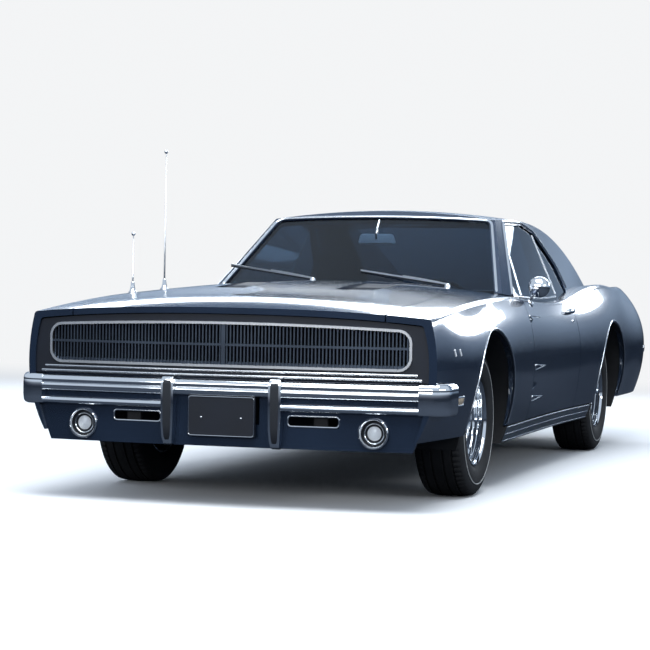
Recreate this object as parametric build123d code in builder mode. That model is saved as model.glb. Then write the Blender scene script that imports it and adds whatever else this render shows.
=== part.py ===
"""Large two-door fastback coupe of about 1970, at full size, in millimetres.

The car faces -Y, +X is its left side and +Z is up. The origin is on the ground, at the middle of the
overall length and width. One half of each symmetrical piece is made for x > 0 and then mirrored.
"""

from build123d import *
from math import asin, degrees, radians, tan
import os

os.makedirs("parts", exist_ok=True)

# Overall size and running gear
overall_length = 5283
wheelbase = 2972
front_overhang = 1010
half_track = 758
ride_height = 215          # underside of the sills above the ground
tyre_radius = 338

front_end = -overall_length / 2
rear_end = overall_length / 2
front_axle = front_end + front_overhang
rear_axle = front_axle + wheelbase
axle_z = tyre_radius

# Gaps and walls
shut_gap = 6               # between a moving panel and its neighbour
seat_gap = 0.3             # between a fixed piece and its seat
side_wall = 32
top_wall = 22
door_inner_x = 800
glass_thickness = 6
glass_set_in = 8

# Panel seams
hood_half_width = 700
hood_rear = -960
door_front = -760
door_rear = 480
door_bottom = 300
door_rear_slope = 7.5      # degrees that the door's rear edge leans forward towards its inner face
lid_half_width = 494
lid_front = 1590
hood_hinge_z = 961         # the hinge pins lie in the seams, just under the skin
lid_hinge_z = 926
belly_z = 600              # height of the widest line along the side
quarter_front = door_rear + shut_gap

# Fascia: the nose and tail are bowed in plan
nose_front = front_end + 22
nose_bow_radius = 7400
tail_rear = rear_end - 45
tail_bow_radius = 6500
grille_half_width = 812
grille_low = 592
grille_high_side = 764     # the grille's top edge rises towards the middle
grille_high = 784
grille_corner = 58
ring_width = 11
lip_height = 26            # front edge of the hood and fenders above the grille frame
nose_bottom = 548
valance_bottom = 258

# Floor
kick_up_y = 900
tail_floor_end = 2500

# Wheel arches and houses
arch_radius = 395
arch_lift = 22             # arch centre above the axle
house_radius = 402
rear_house_inner = 602

# Body sections, from nose to tail. Columns: y, sill x, belly x, shoulder x, shoulder z, centre z,
# shoulder radius
body_sections = [
    (front_end - 20, 755, 915, 880, 802, 828, 20),
    (front_axle - 520, 845, 948, 888, 850, 898, 26),
    (front_axle, 880, 964, 884, 886, 940, 32),
    (door_front, 872, 938, 868, 892, 962, 30),
    (door_front + 610, 862, 918, 850, 868, 930, 26),
    (door_rear, 866, 926, 854, 886, 925, 26),
    (rear_axle - 320, 880, 962, 868, 952, 925, 38),
    (rear_axle, 884, 973, 876, 974, 920, 42),
    (rear_axle + 500, 876, 965, 868, 955, 912, 36),
    (rear_end + 10, 836, 885, 836, 866, 890, 26),
]

# Greenhouse: plan outlines at two heights. Columns: height, front centre y, front corner x and y,
# side start x and y, side middle x, rear x and y
greenhouse_rows = [
    (860, -918, 780, -790, 812, -715, 818, 660, 2230),
    (1400, -105, 554, -90, 567, 20, 575, 460, 2230),
]
side_middle_y = 300
roof_crest_y = 180
roof_crest_z = 1351
roof_arc_radius = 5500
roof_break_y = 600         # where the roof turns into the fastback slope
tail_slope_end = (2090, 955)
crown_radius = 4200
crown_angle = 16
roof_thickness = 40
tunnel_half_width = 500    # between the two sail panels behind the roof
backlight_top = (780, 1327)
backlight_base = (1385, 925)
header_z = 1277            # underside of the roof's rear edge, above the rear window
sail_seam = 735            # where the roof skin is joined to the sail panels
screen_rake_inset = 1.7    # how far the raked screen moves in plan for one unit of inset


def body_section(row, side, top, bottom):
    """One half section of the body at its own y, made smaller by the three insets."""
    y, sill_x, belly_x, shoulder_x, shoulder_z, centre_z, radius = row
    with BuildSketch(Plane(origin=(0, y, 0), x_dir=(1, 0, 0), z_dir=(0, -1, 0))) as section:
        sill = (sill_x - side, ride_height - bottom)
        belly = (belly_x - side, belly_z)
        shoulder = (shoulder_x - side, shoulder_z - top)
        centre = (0, centre_z - top)
        with BuildLine():
            Line((0, ride_height - bottom), sill)
            TangentArc(belly, sill, tangent=(0, -1))
            TangentArc(belly, shoulder, tangent=(0, 1))
            TangentArc(centre, shoulder, tangent=(1, 0))
            Line(centre, (0, ride_height - bottom))
        make_face()
        corner = section.vertices().sort_by_distance(Vertex(*shoulder, 0))[0]
        fillet(corner, radius)
    return section.sketch


def body_form(side=0.0, top=0.0, bottom=0.0, nose=0.0):
    """The left half of the body as one closed form, bowed at both ends."""
    with BuildPart() as form:
        for row in body_sections:
            add(body_section(row, side, top, bottom))
        loft()
        with BuildSketch(Plane.XY):
            with Locations((0, nose_front + nose + nose_bow_radius)):
                Circle(nose_bow_radius)
        extrude(amount=2000, mode=Mode.INTERSECT)
        with BuildSketch(Plane.XY):
            with Locations((0, tail_rear - nose - tail_bow_radius)):
                Circle(tail_bow_radius)
        extrude(amount=2000, mode=Mode.INTERSECT)
    return form.part


def block(x0, x1, y0, y1, z0, z1, mode=Mode.ADD):
    """A plain box between two corners, in the current builder."""
    with Locations(((x0 + x1) / 2, (y0 + y1) / 2, (z0 + z1) / 2)):
        Box(x1 - x0, y1 - y0, z1 - z0, mode=mode)


def across(x0, x1, y, z, radius, mode=Mode.ADD):
    """A cylinder along X in the current builder."""
    with Locations(((x0 + x1) / 2, y, z)):
        Cylinder(radius, x1 - x0, rotation=(0, 90, 0), mode=mode)


def side_prism(points, x0, x1, mode=Mode.ADD, corner=0):
    """A prism along X over a polygon given in (y, z), in the current builder."""
    with BuildSketch(Plane.YZ.offset(x0)) as outline:
        with BuildLine():
            Polyline(*points, close=True)
        make_face()
        if corner:
            fillet(outline.vertices(), corner)
    extrude(outline.sketch, amount=x1 - x0, mode=mode)


def rod(start, end, radius, mode=Mode.ADD):
    """A round bar from one point to another, in the current builder."""
    way = Vector(*end) - Vector(*start)
    with BuildSketch(Plane(origin=start, z_dir=way)) as disc:
        Circle(radius)
    extrude(disc.sketch, amount=way.length, mode=mode)


def both_sides(half):
    """Half a piece and its mirror image, joined."""
    with BuildPart() as whole:
        add(half)
        mirror(about=Plane.YZ)
    return whole.part


def save(part, name):
    """Labels a finished piece and writes it."""
    part.label = name
    export_step(part, f"parts/{name}.step")


def save_pair(left, name):
    """Writes a left piece and its mirrored right twin."""
    save(left, f"{name}_left")
    save(left.mirror(Plane.YZ), f"{name}_right")


def front_band(setback, depth, half_width, z0, z1):
    """The left half of a plate bowed like the nose, setback behind it."""
    with BuildPart() as band:
        with BuildSketch(Plane.XY.offset(z0)):
            with Locations((0, nose_front + nose_bow_radius)):
                Circle(nose_bow_radius - setback)
                Circle(nose_bow_radius - setback - depth, mode=Mode.SUBTRACT)
            with Locations((half_width / 2, nose_front + 200)):
                Rectangle(half_width, 600, mode=Mode.INTERSECT)
        extrude(amount=z1 - z0)
    return band.part


def rear_band(setback, depth, half_width, z0, z1):
    """The left half of a plate bowed like the tail, setback ahead of it."""
    with BuildPart() as band:
        with BuildSketch(Plane.XY.offset(z0)):
            with Locations((0, tail_rear - tail_bow_radius)):
                Circle(tail_bow_radius - setback)
                Circle(tail_bow_radius - setback - depth, mode=Mode.SUBTRACT)
            with Locations((half_width / 2, tail_rear - 200)):
                Rectangle(half_width, 600, mode=Mode.INTERSECT)
        extrude(amount=z1 - z0)
    return band.part


def grille_opening(inset):
    """The opening round the grille, along Y, with its arched top edge, made smaller by an inset."""
    half_width = grille_half_width - inset
    low = grille_low + inset
    high_side = grille_high_side - inset
    slot_plane = Plane(origin=(0, nose_front + 300, 0), x_dir=(1, 0, 0), z_dir=(0, -1, 0))
    with BuildPart() as slot:
        with BuildSketch(slot_plane) as outline:
            with BuildLine():
                ThreePointArc((-half_width, high_side), (0, grille_high - inset), (half_width, high_side))
                Polyline((half_width, high_side), (half_width, low), (-half_width, low),
                         (-half_width, high_side))
            make_face()
            fillet(outline.vertices(), grille_corner - inset)
        extrude(amount=600)
    return slot.part


def greenhouse(inset=0.0, drop=0.0):
    """The left half of the glasshouse: two plan outlines lofted, under the roof's crown."""
    with BuildPart() as form:
        for height, nose_y, corner_x, corner_y, side_x, side_y, middle_x, rear_x, rear_y in greenhouse_rows:
            back = screen_rake_inset * inset
            front_centre = (0, nose_y + back)
            corner = (corner_x - inset * 0.4, corner_y + back)
            side = (side_x - inset, side_y + inset)
            with BuildSketch(Plane.XY.offset(height)):
                with BuildLine():
                    TangentArc(front_centre, corner, tangent=(1, 0))
                    Line(corner, side)
                    ThreePointArc(side, (middle_x - inset, side_middle_y), (rear_x - inset, rear_y))
                    Line((rear_x - inset, rear_y), (0, rear_y))
                    Line((0, rear_y), front_centre)
                make_face()
        loft(ruled=True)
        crest = (roof_crest_y, roof_crest_z - drop)
        centre = (crest[0], crest[1] - roof_arc_radius)
        front_angle = degrees(asin((roof_crest_y + 1000) / roof_arc_radius))
        rear_angle = degrees(asin((roof_break_y - roof_crest_y) / roof_arc_radius))
        with BuildSketch(Plane.YZ):
            with BuildLine():
                roof_line = CenterArc(centre, roof_arc_radius, 90 + front_angle, -front_angle - rear_angle)
                slope_end = (tail_slope_end[0], tail_slope_end[1] - drop)
                TangentArc(roof_line @ 1, slope_end, tangent=roof_line % 1)
                Polyline(slope_end, (tail_slope_end[0], 600), ((roof_line @ 0).X, 600), roof_line @ 0)
            make_face()
        revolve(axis=Axis((0, 0, roof_crest_z - crown_radius), (0, 1, 0)), revolution_arc=crown_angle,
                mode=Mode.INTERSECT)
    return form.part


# Forms that the panels are cut from
outer = body_form()
inner = body_form(side=side_wall, top=top_wall, bottom=80, nose=-40)
inner_seat = body_form(side=side_wall + seat_gap, top=top_wall + seat_gap, bottom=80, nose=-40)
nose_fill = body_form(side=side_wall + seat_gap, top=lip_height + shut_gap, bottom=80, nose=-40)
tail_fill = body_form(side=side_wall + seat_gap, top=0, bottom=80, nose=-40)
deep = body_form(side=side_wall, top=46, bottom=80, nose=-40)
lip_under = body_form(side=side_wall, top=lip_height, bottom=80, nose=-40)
house = greenhouse()
glass_outside = greenhouse(inset=glass_set_in, drop=glass_set_in)
glass_inside = greenhouse(inset=glass_set_in + glass_thickness, drop=glass_set_in + glass_thickness)
cabin_form = greenhouse(inset=45, drop=roof_thickness)
shell = outer - inner

arch_z = axle_z + arch_lift
front_nose_zone = front_band(-40, 80, 1000, 200, 1100)
front_lip_zone = front_band(-40, 70, 1000, 600, 1100)
rear_tail_zone = rear_band(-40, 80, 1000, 200, 1100)
hinge_pin_radius = shut_gap / 2 - seat_gap
rear_slope = tan(radians(door_rear_slope))

# The side window opening in (y, z), and the windscreen opening in (x, distance up the rake)
side_opening = [(-690, 855), (-122, 1272), (250, 1281), (480, 1240), (775, 1065), (870, 855)]
screen_opening = [(0, 20), (762, 20), (572, 800), (0, 800)]
screen_corner = 34
screen_foot = (0, greenhouse_rows[0][1], greenhouse_rows[0][0])
screen_plane = Plane(origin=screen_foot, x_dir=(1, 0, 0), z_dir=(0, -540, 813))


def screen_prism(margin, mode):
    """The windscreen opening as a prism square to the rake, made smaller by a margin."""
    foot, low_corner, high_corner, head = screen_opening
    high_corner = (high_corner[0] - margin, high_corner[1] - margin)
    with BuildSketch(screen_plane) as outline:
        with BuildLine():
            Polyline(foot, (low_corner[0] - margin, low_corner[1]), high_corner, (0, head[1] - margin),
                     close=True)
        make_face()
        rounded_corner = outline.vertices().sort_by_distance(Vertex(*high_corner, 0))[0]
        fillet(rounded_corner, screen_corner)
    extrude(outline.sketch, amount=150, both=True, mode=mode)


def side_glass_prism(points, margin, mode):
    """A side opening in (y, z) with rounded corners, made smaller by a margin."""
    with BuildSketch(Plane.YZ.offset(500)) as outline:
        with BuildLine():
            Polyline(*points, close=True)
        make_face()
        fillet(outline.vertices(), 22)
        if margin:
            offset(amount=-margin, mode=Mode.REPLACE)
    extrude(outline.sketch, amount=500, mode=mode)


def door_plan(offset_y, x0, mode):
    """A prism over the door's plan, from its front seam to its sloping rear edge moved by offset_y."""
    rear_outer = (1100, door_rear + offset_y + (1100 - 935) * rear_slope)
    rear_inner = (x0, door_rear + offset_y - (935 - x0) * rear_slope)
    with BuildSketch(Plane.XY.offset(door_bottom)) as outline:
        with BuildLine():
            Polyline((x0, door_front), (1100, door_front), rear_outer, rear_inner, close=True)
        make_face()
    extrude(outline.sketch, amount=900, mode=mode)


# Pointed flutes pressed into the door behind its front edge. Columns: height, skin x there
door_flutes = [(790, 909), (466, 930)]
flute_length = 150
flute_height = 40
flute_depth = 9


def door_flute(z, skin_x):
    """The space of one flute: full depth at the door's front edge, running out at its point."""
    with BuildPart() as flute:
        with BuildSketch(Plane.XY.offset(z - flute_height)):
            with BuildLine():
                Polyline((skin_x - flute_depth, door_front), (skin_x, door_front + flute_length),
                         (1100, door_front + flute_length), (1100, door_front), close=True)
            make_face()
        extrude(amount=2 * flute_height)
        side_prism([(door_front, z - flute_height / 2), (door_front, z + flute_height / 2),
                    (door_front + flute_length, z + flute_height / 4)], 800, 1100, Mode.INTERSECT)
    return flute.part


# Sides of the body
with BuildPart() as front_fender:
    add(shell)
    block(hood_half_width + 3, 1100, -2800, door_front - shut_gap, door_bottom, 1200, Mode.INTERSECT)
    add(nose_fill & front_nose_zone, mode=Mode.SUBTRACT)
    across(600, 1100, front_axle, arch_z, arch_radius, Mode.SUBTRACT)
with BuildPart() as fender_lip:
    add(outer & front_lip_zone)
    add(lip_under, mode=Mode.SUBTRACT)
    block(hood_half_width + 3, 870, -2800, -2400, 700, 1200, Mode.INTERSECT)
with BuildPart() as hinge_pillar:
    add(outer)
    block(door_inner_x, 1100, door_front - 70, door_front - shut_gap, door_bottom, 1200, Mode.INTERSECT)
front_fender_left = front_fender.part + hinge_pillar.part + fender_lip.part
save_pair(front_fender_left, "front_fender")

with BuildPart() as door:
    add(outer)
    door_plan(0, door_inner_x, Mode.INTERSECT)
    across(600, 1100, front_axle, arch_z, arch_radius, Mode.SUBTRACT)
    for flute_z, skin_x in door_flutes:
        add(door_flute(flute_z, skin_x), mode=Mode.SUBTRACT)
save_pair(door.part, "door")

# The roof with its pillars and sail panels
with BuildPart() as cabin:
    add(cabin_form)
    side_prism([(-1200, 800), (-1200, 1500), (backlight_top[0] - 45, 1500), (backlight_top[0] - 45, 1270),
                (backlight_base[0] - 45, 880), (backlight_base[0] - 45, 800)], 0, 1000, Mode.INTERSECT)
with BuildPart() as glasshouse:
    add(house)
    add(cabin.part, mode=Mode.SUBTRACT)
    side_prism([backlight_top, backlight_base, (backlight_base[0], 800), (2400, 800), (2400, 1500),
                (backlight_top[0], 1500)], 0, tunnel_half_width, Mode.SUBTRACT)
    backlight_slope = (backlight_top[1] - backlight_base[1]) / (backlight_base[0] - backlight_top[0])
    header_y = backlight_top[0] + (backlight_top[1] - header_z) / backlight_slope
    side_prism([(backlight_top[0] - 55, header_z), (header_y, header_z), backlight_base,
                (backlight_base[0], 800), (backlight_top[0] - 55, 800)], 0, tunnel_half_width, Mode.SUBTRACT)
    screen_prism(0, Mode.SUBTRACT)
    side_glass_prism(side_opening, 0, Mode.SUBTRACT)
with BuildPart() as roof_zone:
    block(0, 1000, -1200, sail_seam, 600, 1400)
    block(0, tunnel_half_width - seat_gap, sail_seam, backlight_base[0], 600, 1400)
with BuildPart() as over_door:
    add(body_form(top=-shut_gap))
    block(700, 1100, door_front - shut_gap / 2, quarter_front, 600, 1200, Mode.INTERSECT)
with BuildPart() as roof_half:
    add(glasshouse.part)
    add(outer, mode=Mode.SUBTRACT)
    add(over_door.part, mode=Mode.SUBTRACT)
    add(roof_zone.part, mode=Mode.INTERSECT)
save(both_sides(roof_half.part), "roof")

with BuildPart() as sail:
    add(glasshouse.part)
    add(inner, mode=Mode.SUBTRACT)
    block(tunnel_half_width, 1000, sail_seam + seat_gap, 2800, 600, 1400, Mode.INTERSECT)
with BuildPart() as lock_pillar:
    add(outer)
    block(door_inner_x, 1100, 300, quarter_front + 60, door_bottom, 1200, Mode.INTERSECT)
    door_plan(shut_gap, 400, Mode.SUBTRACT)
with BuildPart() as quarter_panel:
    add(shell)
    block(lid_half_width + 3, 1100, 300, 2800, door_bottom, 1200, Mode.INTERSECT)
    door_plan(shut_gap, 400, Mode.SUBTRACT)
    add(tail_fill & rear_tail_zone, mode=Mode.SUBTRACT)
    across(600, 1100, rear_axle, arch_z, arch_radius, Mode.SUBTRACT)
    add(sail.part)
    add(lock_pillar.part)
save_pair(quarter_panel.part, "quarter_panel")

# Bonnet, cowl, rear deck and boot lid. The bonnet's recesses deepen towards the rear
hood_recess_x = (215, 395)
hood_recess = [(-1860, 923), (-1250, 931), (-1235, 1000), (-1860, 1000)]
with BuildPart() as engine_bay:
    add(inner)
    block(0, 690, -2570, -1560, 600, 1200, Mode.INTERSECT)
with BuildPart() as hood_half:
    add(outer)
    add(deep, mode=Mode.SUBTRACT)
    block(0, hood_half_width - 3, -2800, hood_rear - 3, 600, 1200, Mode.INTERSECT)
    add(lip_under & front_nose_zone, mode=Mode.SUBTRACT)
    add(engine_bay.part, mode=Mode.SUBTRACT)
    side_prism(hood_recess, hood_recess_x[0], hood_recess_x[1], Mode.SUBTRACT)
save(both_sides(hood_half.part), "hood")

with BuildPart() as cowl_half:
    add(shell)
    block(0, hood_half_width + 2.7, hood_rear + 3, door_front + 40, 600, 1200, Mode.INTERSECT)
    block(560, 1000, door_front - shut_gap - seat_gap, 0, 600, 1200, Mode.SUBTRACT)
    add(glasshouse.part, mode=Mode.SUBTRACT)
    rod((0, hood_rear, hood_hinge_z), (150, hood_rear, hood_hinge_z), hinge_pin_radius)
    for x in (0, 135):
        block(x, x + 15, hood_rear, hood_rear + shut_gap, hood_hinge_z - 2, hood_hinge_z + 2)
save(both_sides(cowl_half.part), "cowl_panel")

with BuildPart() as deck_half:
    add(shell)
    block(0, lid_half_width + 2.7, backlight_base[0] + 12, lid_front - shut_gap, 600, 1200, Mode.INTERSECT)
    lid_hinge_y = lid_front - shut_gap / 2
    rod((445, lid_hinge_y, lid_hinge_z), (485, lid_hinge_y, lid_hinge_z), hinge_pin_radius)
    for x in (445, 470):
        block(x, x + 15, lid_hinge_y - shut_gap, lid_hinge_y, lid_hinge_z - 2, lid_hinge_z + 2)
save(both_sides(deck_half.part), "rear_deck")

with BuildPart() as lid_half:
    add(shell)
    block(0, lid_half_width - 3, lid_front, 2800, 600, 1200, Mode.INTERSECT)
    add(rear_band(-40, 86, 1000, 200, 1100), mode=Mode.SUBTRACT)
save(both_sides(lid_half.part), "trunk_lid")

# Glass
with BuildPart() as screen_half:
    add(glass_outside)
    add(glass_inside, mode=Mode.SUBTRACT)
    screen_prism(seat_gap, Mode.INTERSECT)
    add(outer, mode=Mode.SUBTRACT)
save(both_sides(screen_half.part), "windshield")

with BuildPart() as side_glass:
    add(glass_outside)
    add(glass_inside, mode=Mode.SUBTRACT)
    side_glass_prism(side_opening, seat_gap, Mode.INTERSECT)
    add(outer, mode=Mode.SUBTRACT)
with BuildPart() as door_glass:
    add(side_glass.part)
    side_glass_prism(side_opening, 7, Mode.INTERSECT)
    block(0, 1000, -1000, door_rear - 14, 600, 1400, Mode.INTERSECT)
save_pair(door_glass.part, "door_glass")
with BuildPart() as quarter_glass:
    add(side_glass.part)
    block(0, 1000, door_rear - 6, 1400, 600, 1400, Mode.INTERSECT)
save_pair(quarter_glass.part, "quarter_glass")

with BuildPart() as backlight_half:
    side_prism([backlight_top, backlight_base, (backlight_base[0] + 8, backlight_base[1]),
                (backlight_top[0] + 8, backlight_top[1])], 0, tunnel_half_width - seat_gap)
    add(house, mode=Mode.INTERSECT)
    add(outer, mode=Mode.SUBTRACT)
save(both_sides(backlight_half.part), "backlight")

# Nose: frame round the grille, bright ring, bars, bumper, guards and valance
with BuildPart() as nose_half:
    add(front_band(8, 32, 900, nose_bottom, 900))
    add(nose_fill, mode=Mode.INTERSECT)
    add(grille_opening(0), mode=Mode.SUBTRACT)
save(both_sides(nose_half.part), "nose_frame")

with BuildPart() as ring_half:
    add(front_band(2, 34, 900, grille_low, grille_high))
    add(grille_opening(seat_gap), mode=Mode.INTERSECT)
    add(grille_opening(ring_width), mode=Mode.SUBTRACT)
save(both_sides(ring_half.part), "grille_ring")

# Grille bars. Horizontal bars: low edge, high edge, setback, depth
bar_pitch = 15.5
bar_count = 51
bar_bow = nose_bow_radius - 30
cross_bars = [(grille_low + 13, grille_low + 24, 18, 34), (682, 692, 12, 40)]
with BuildPart() as grille_half:
    pitch_angle = degrees(bar_pitch / bar_bow)
    with Locations((0, nose_front + nose_bow_radius, 0)):
        with PolarLocations(bar_bow, bar_count, start_angle=-90 + pitch_angle,
                            angular_range=pitch_angle * (bar_count - 1), endpoint=True):
            with Locations((0, 0, (grille_low + grille_high) / 2)):
                Box(34, 6, grille_high - grille_low)
    for low, high, setback, depth in cross_bars:
        add(front_band(setback, depth, grille_half_width, low, high))
    block(0, 9, nose_front + 10, nose_front + 60, grille_low, grille_high)
    add(grille_opening(ring_width + seat_gap), mode=Mode.INTERSECT)
save(both_sides(grille_half.part), "grille")

with BuildPart() as grille_back_half:
    add(front_band(70, 10, 860, nose_bottom + 12, 776))
    add(inner_seat, mode=Mode.INTERSECT)
save(both_sides(grille_back_half.part), "grille_back")


def bumper_sweep(ends_sign, profile, bow_radius, centre_y, half_width, corner, run):
    """The left half of a bumper: a profile swept along the bow, round the corner and along the side."""
    sagitta = half_width ** 2 / (2 * bow_radius)
    start = (0, centre_y)
    turn = (half_width, centre_y + ends_sign * sagitta)
    corner_middle = (half_width + corner * 0.71, turn[1] + ends_sign * corner * 0.29)
    corner_end = (half_width + corner, turn[1] + ends_sign * corner)
    with BuildPart() as half:
        with BuildLine() as path:
            TangentArc(start, turn, tangent=(1, 0))
            ThreePointArc(turn, corner_middle, corner_end)
            Line(corner_end, (corner_end[0] + 4, corner_end[1] + ends_sign * run))
        with BuildSketch(Plane(origin=(0, centre_y, 0), x_dir=(0, ends_sign, 0), z_dir=(ends_sign, 0, 0))):
            with BuildLine():
                Polyline(*profile, close=True)
            make_face()
        sweep(path=path.line, transition=Transition.ROUND)
    return half.part


# Bumper profiles: distance behind the front face, height
blade = [(26, 470), (4, 473), (-8, 484), (-10, 498), (-4, 504), (-10, 510), (-9, 526), (4, 538), (26, 541)]
lower_blade = [(26, 414), (6, 414), (-5, 420), (-8, 430), (-5, 440), (6, 446), (26, 446)]
end_cap = [(26, 410), (4, 412), (-9, 424), (-11, 476), (-9, 528), (4, 542), (26, 545)]
end_cap_x = 850            # where the bumper's tall ends begin
guard_x = (212, 268)
plate_hole_spacing = 178
plate_hole_z = 380
plate_hole_radius = 3.5
with BuildPart() as fender_front:
    add(outer)
    block(840, 1100, nose_front + 20, -2000, 300, 800, Mode.INTERSECT)
with BuildPart() as lower_bar:
    add(bumper_sweep(1, lower_blade, nose_bow_radius, nose_front, 880, 76, 190))
    block(guard_x[0] + 10, 1100, -3000, -2000, 300, 700, Mode.INTERSECT)
with BuildPart() as tall_end:
    add(bumper_sweep(1, end_cap, nose_bow_radius, nose_front, 880, 76, 190))
    block(end_cap_x, 1100, -3000, -2000, 300, 700, Mode.INTERSECT)
with BuildPart() as front_bumper_half:
    add(bumper_sweep(1, blade, nose_bow_radius, nose_front, 880, 76, 190))
    add(lower_bar.part)
    add(tall_end.part)
    add(fender_front.part, mode=Mode.SUBTRACT)
    block(400, 440, nose_front + 20, -2560 - seat_gap, 478, 520)
    block(0, 150, nose_front - 1, nose_front + 16, 300, 480)
    with Locations((plate_hole_spacing / 2, nose_front, plate_hole_z)):
        Cylinder(plate_hole_radius, 60, rotation=(90, 0, 0), mode=Mode.SUBTRACT)
    side_prism([(front_end, 300), (front_end, 530), (front_end + 12, 548), (nose_front + 20, 548),
                (nose_front + 30, 262), (nose_front + 12, 256)], guard_x[0], guard_x[1])
save(both_sides(front_bumper_half.part), "front_bumper")

lamp_x = 652
lamp_z = 334
with BuildPart() as valance_half:
    add(front_band(27, 12, 880, valance_bottom, nose_bottom - seat_gap))
    add(nose_fill, mode=Mode.INTERSECT)
    block(398, 442, nose_front - 100, nose_front + 200, 476, 522, Mode.SUBTRACT)
    block(-1, 160, nose_front - 100, nose_front + 200, 355, 470, Mode.SUBTRACT)
    block(285, 505, nose_front - 100, nose_front + 200, 350, 400, Mode.SUBTRACT)
    with Locations((lamp_x, nose_front, lamp_z)):
        Cylinder(66, 300, rotation=(90, 0, 0), mode=Mode.SUBTRACT)
save(both_sides(valance_half.part), "front_valance")

with BuildPart() as lamp_left:
    with BuildSketch(Plane.XY):
        with BuildLine():
            Polyline((0, -9), (44, -4), (52, -14), (65.7, -14), (65.7, 40), (30, 60), (0, 60), close=True)
        make_face()
    revolve(axis=Axis.Y)
lamp_y = nose_front + lamp_x ** 2 / 2 / nose_bow_radius + 27
front_lamp = Pos(lamp_x, lamp_y, lamp_z) * lamp_left.part
save(both_sides(front_lamp), "front_lamps")

# Tail: panel, lamps, bumper
with BuildPart() as tail_half:
    add(rear_band(8, 32, 900, 380, 1000))
    add(tail_fill, mode=Mode.INTERSECT)
    block(508, 552, 2400, 2700, 476, 522, Mode.SUBTRACT)
    for x0, x1 in [(150, 450), (470, 770)]:
        block(x0, x1, 2400, 2700, 650, 750, Mode.SUBTRACT)
save(both_sides(tail_half.part), "tail_panel")
with BuildPart() as lamp_zone:
    for x0, x1 in [(150, 450), (470, 770)]:
        block(x0 + seat_gap, x1 - seat_gap, 2400, 2700, 600, 800)
with BuildPart() as tail_lamp_half:
    add(rear_band(2, 39, 800, 650 + seat_gap, 750 - seat_gap))
    add(lamp_zone.part, mode=Mode.INTERSECT)
    add(rear_band(40 + seat_gap, 6, 780, 640, 760))
save(both_sides(tail_lamp_half.part), "tail_lamps")
with BuildPart() as quarter_rear:
    add(outer)
    block(800, 1100, 2000, tail_rear - 36, 300, 800, Mode.INTERSECT)
with BuildPart() as rear_bumper_half:
    add(bumper_sweep(-1, blade, tail_bow_radius, rear_end - 10, 850, 76, 200))
    add(quarter_rear.part, mode=Mode.SUBTRACT)
    block(510, 550, tail_floor_end - 20, rear_end - 22, 478, 520)
save(both_sides(rear_bumper_half.part), "rear_bumper")

# Wheel and tyre, with the centre at the origin and the outside towards +X
rim_profile = [(-100, 200), (-92, 200), (-88, 188), (-60, 186), (-42, 172), (42, 172), (60, 186), (88, 188),
               (92, 200), (100, 200), (99, 192), (66, 179), (44, 165), (-44, 165), (-66, 179), (-99, 192)]
spoke_count = 5
lug_circle = 57
hub_bore = 24.3
with BuildPart() as wheel:
    with BuildSketch(Plane.XY):
        with BuildLine():
            Polyline(*rim_profile, close=True)
        make_face()
    revolve(axis=Axis.X)
    with BuildSketch(Plane.XY):
        with BuildLine():
            Polyline((-30, 0), (-30, 122), (-4, 122), (-4, 84), (22, 84), (30, 60), (30, 0), close=True)
        make_face()
    revolve(axis=Axis.X)
    with Locations(Rot(0, 90, 0)):
        with PolarLocations(0, spoke_count, start_angle=18):
            with Locations((118, 0, 8)):
                Box(110, 52, 26)
        with PolarLocations(lug_circle, spoke_count, start_angle=54):
            with Locations((0, 0, 34)):
                Cylinder(10, 24)
    with BuildSketch(Plane.XY):
        with BuildLine():
            Polyline((29, 0), (29, 34), (48, 30), (56, 18), (56, 0), close=True)
        make_face()
    revolve(axis=Axis.X)
    across(-60, 20, 0, 0, hub_bore, Mode.SUBTRACT)

tyre_profile = [(87.3, 188.5), (91.3, 200.8), (101, 205), (115, 258), (109, 302), (90, 332), (60, 338)]
tyre_hollow = [(78, 322), (97, 300), (103, 256), (82, 206), (76, 188.5)]
tyre_points = tyre_profile + [(-x, r) for x, r in reversed(tyre_profile)]
tyre_points += [(-x, r) for x, r in reversed(tyre_hollow)] + tyre_hollow
with BuildPart() as tyre:
    with BuildSketch(Plane.XY):
        with BuildLine():
            Polyline(*tyre_points, close=True)
        make_face()
    revolve(axis=Axis.X)

for name, y in [("front", front_axle), ("rear", rear_axle)]:
    save_pair(Pos(half_track, y, axle_z) * wheel.part, f"wheel_{name}")
    save_pair(Pos(half_track, y, axle_z) * tyre.part, f"tyre_{name}")

# Front suspension and steering
kingpin_x = 690
pin_radius = 9
spindle_radius = 24
lower_arm_z = 250
upper_arm_z = 470
with BuildPart() as knuckle:
    block(kingpin_x - 12, kingpin_x + 12, front_axle - 20, front_axle + 20,
          lower_arm_z + 14, upper_arm_z - 14)
    with Locations((kingpin_x, front_axle, (lower_arm_z + upper_arm_z) / 2)):
        Cylinder(pin_radius, upper_arm_z - lower_arm_z + 16)
    across(kingpin_x, half_track + 18, front_axle, axle_z, spindle_radius)
    across(kingpin_x + 24, kingpin_x + 30, front_axle, axle_z, 125)
    block(kingpin_x - 12, kingpin_x + 8, front_axle, front_axle + 130, axle_z - 60, axle_z - 40)
save_pair(knuckle.part, "knuckle")

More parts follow.
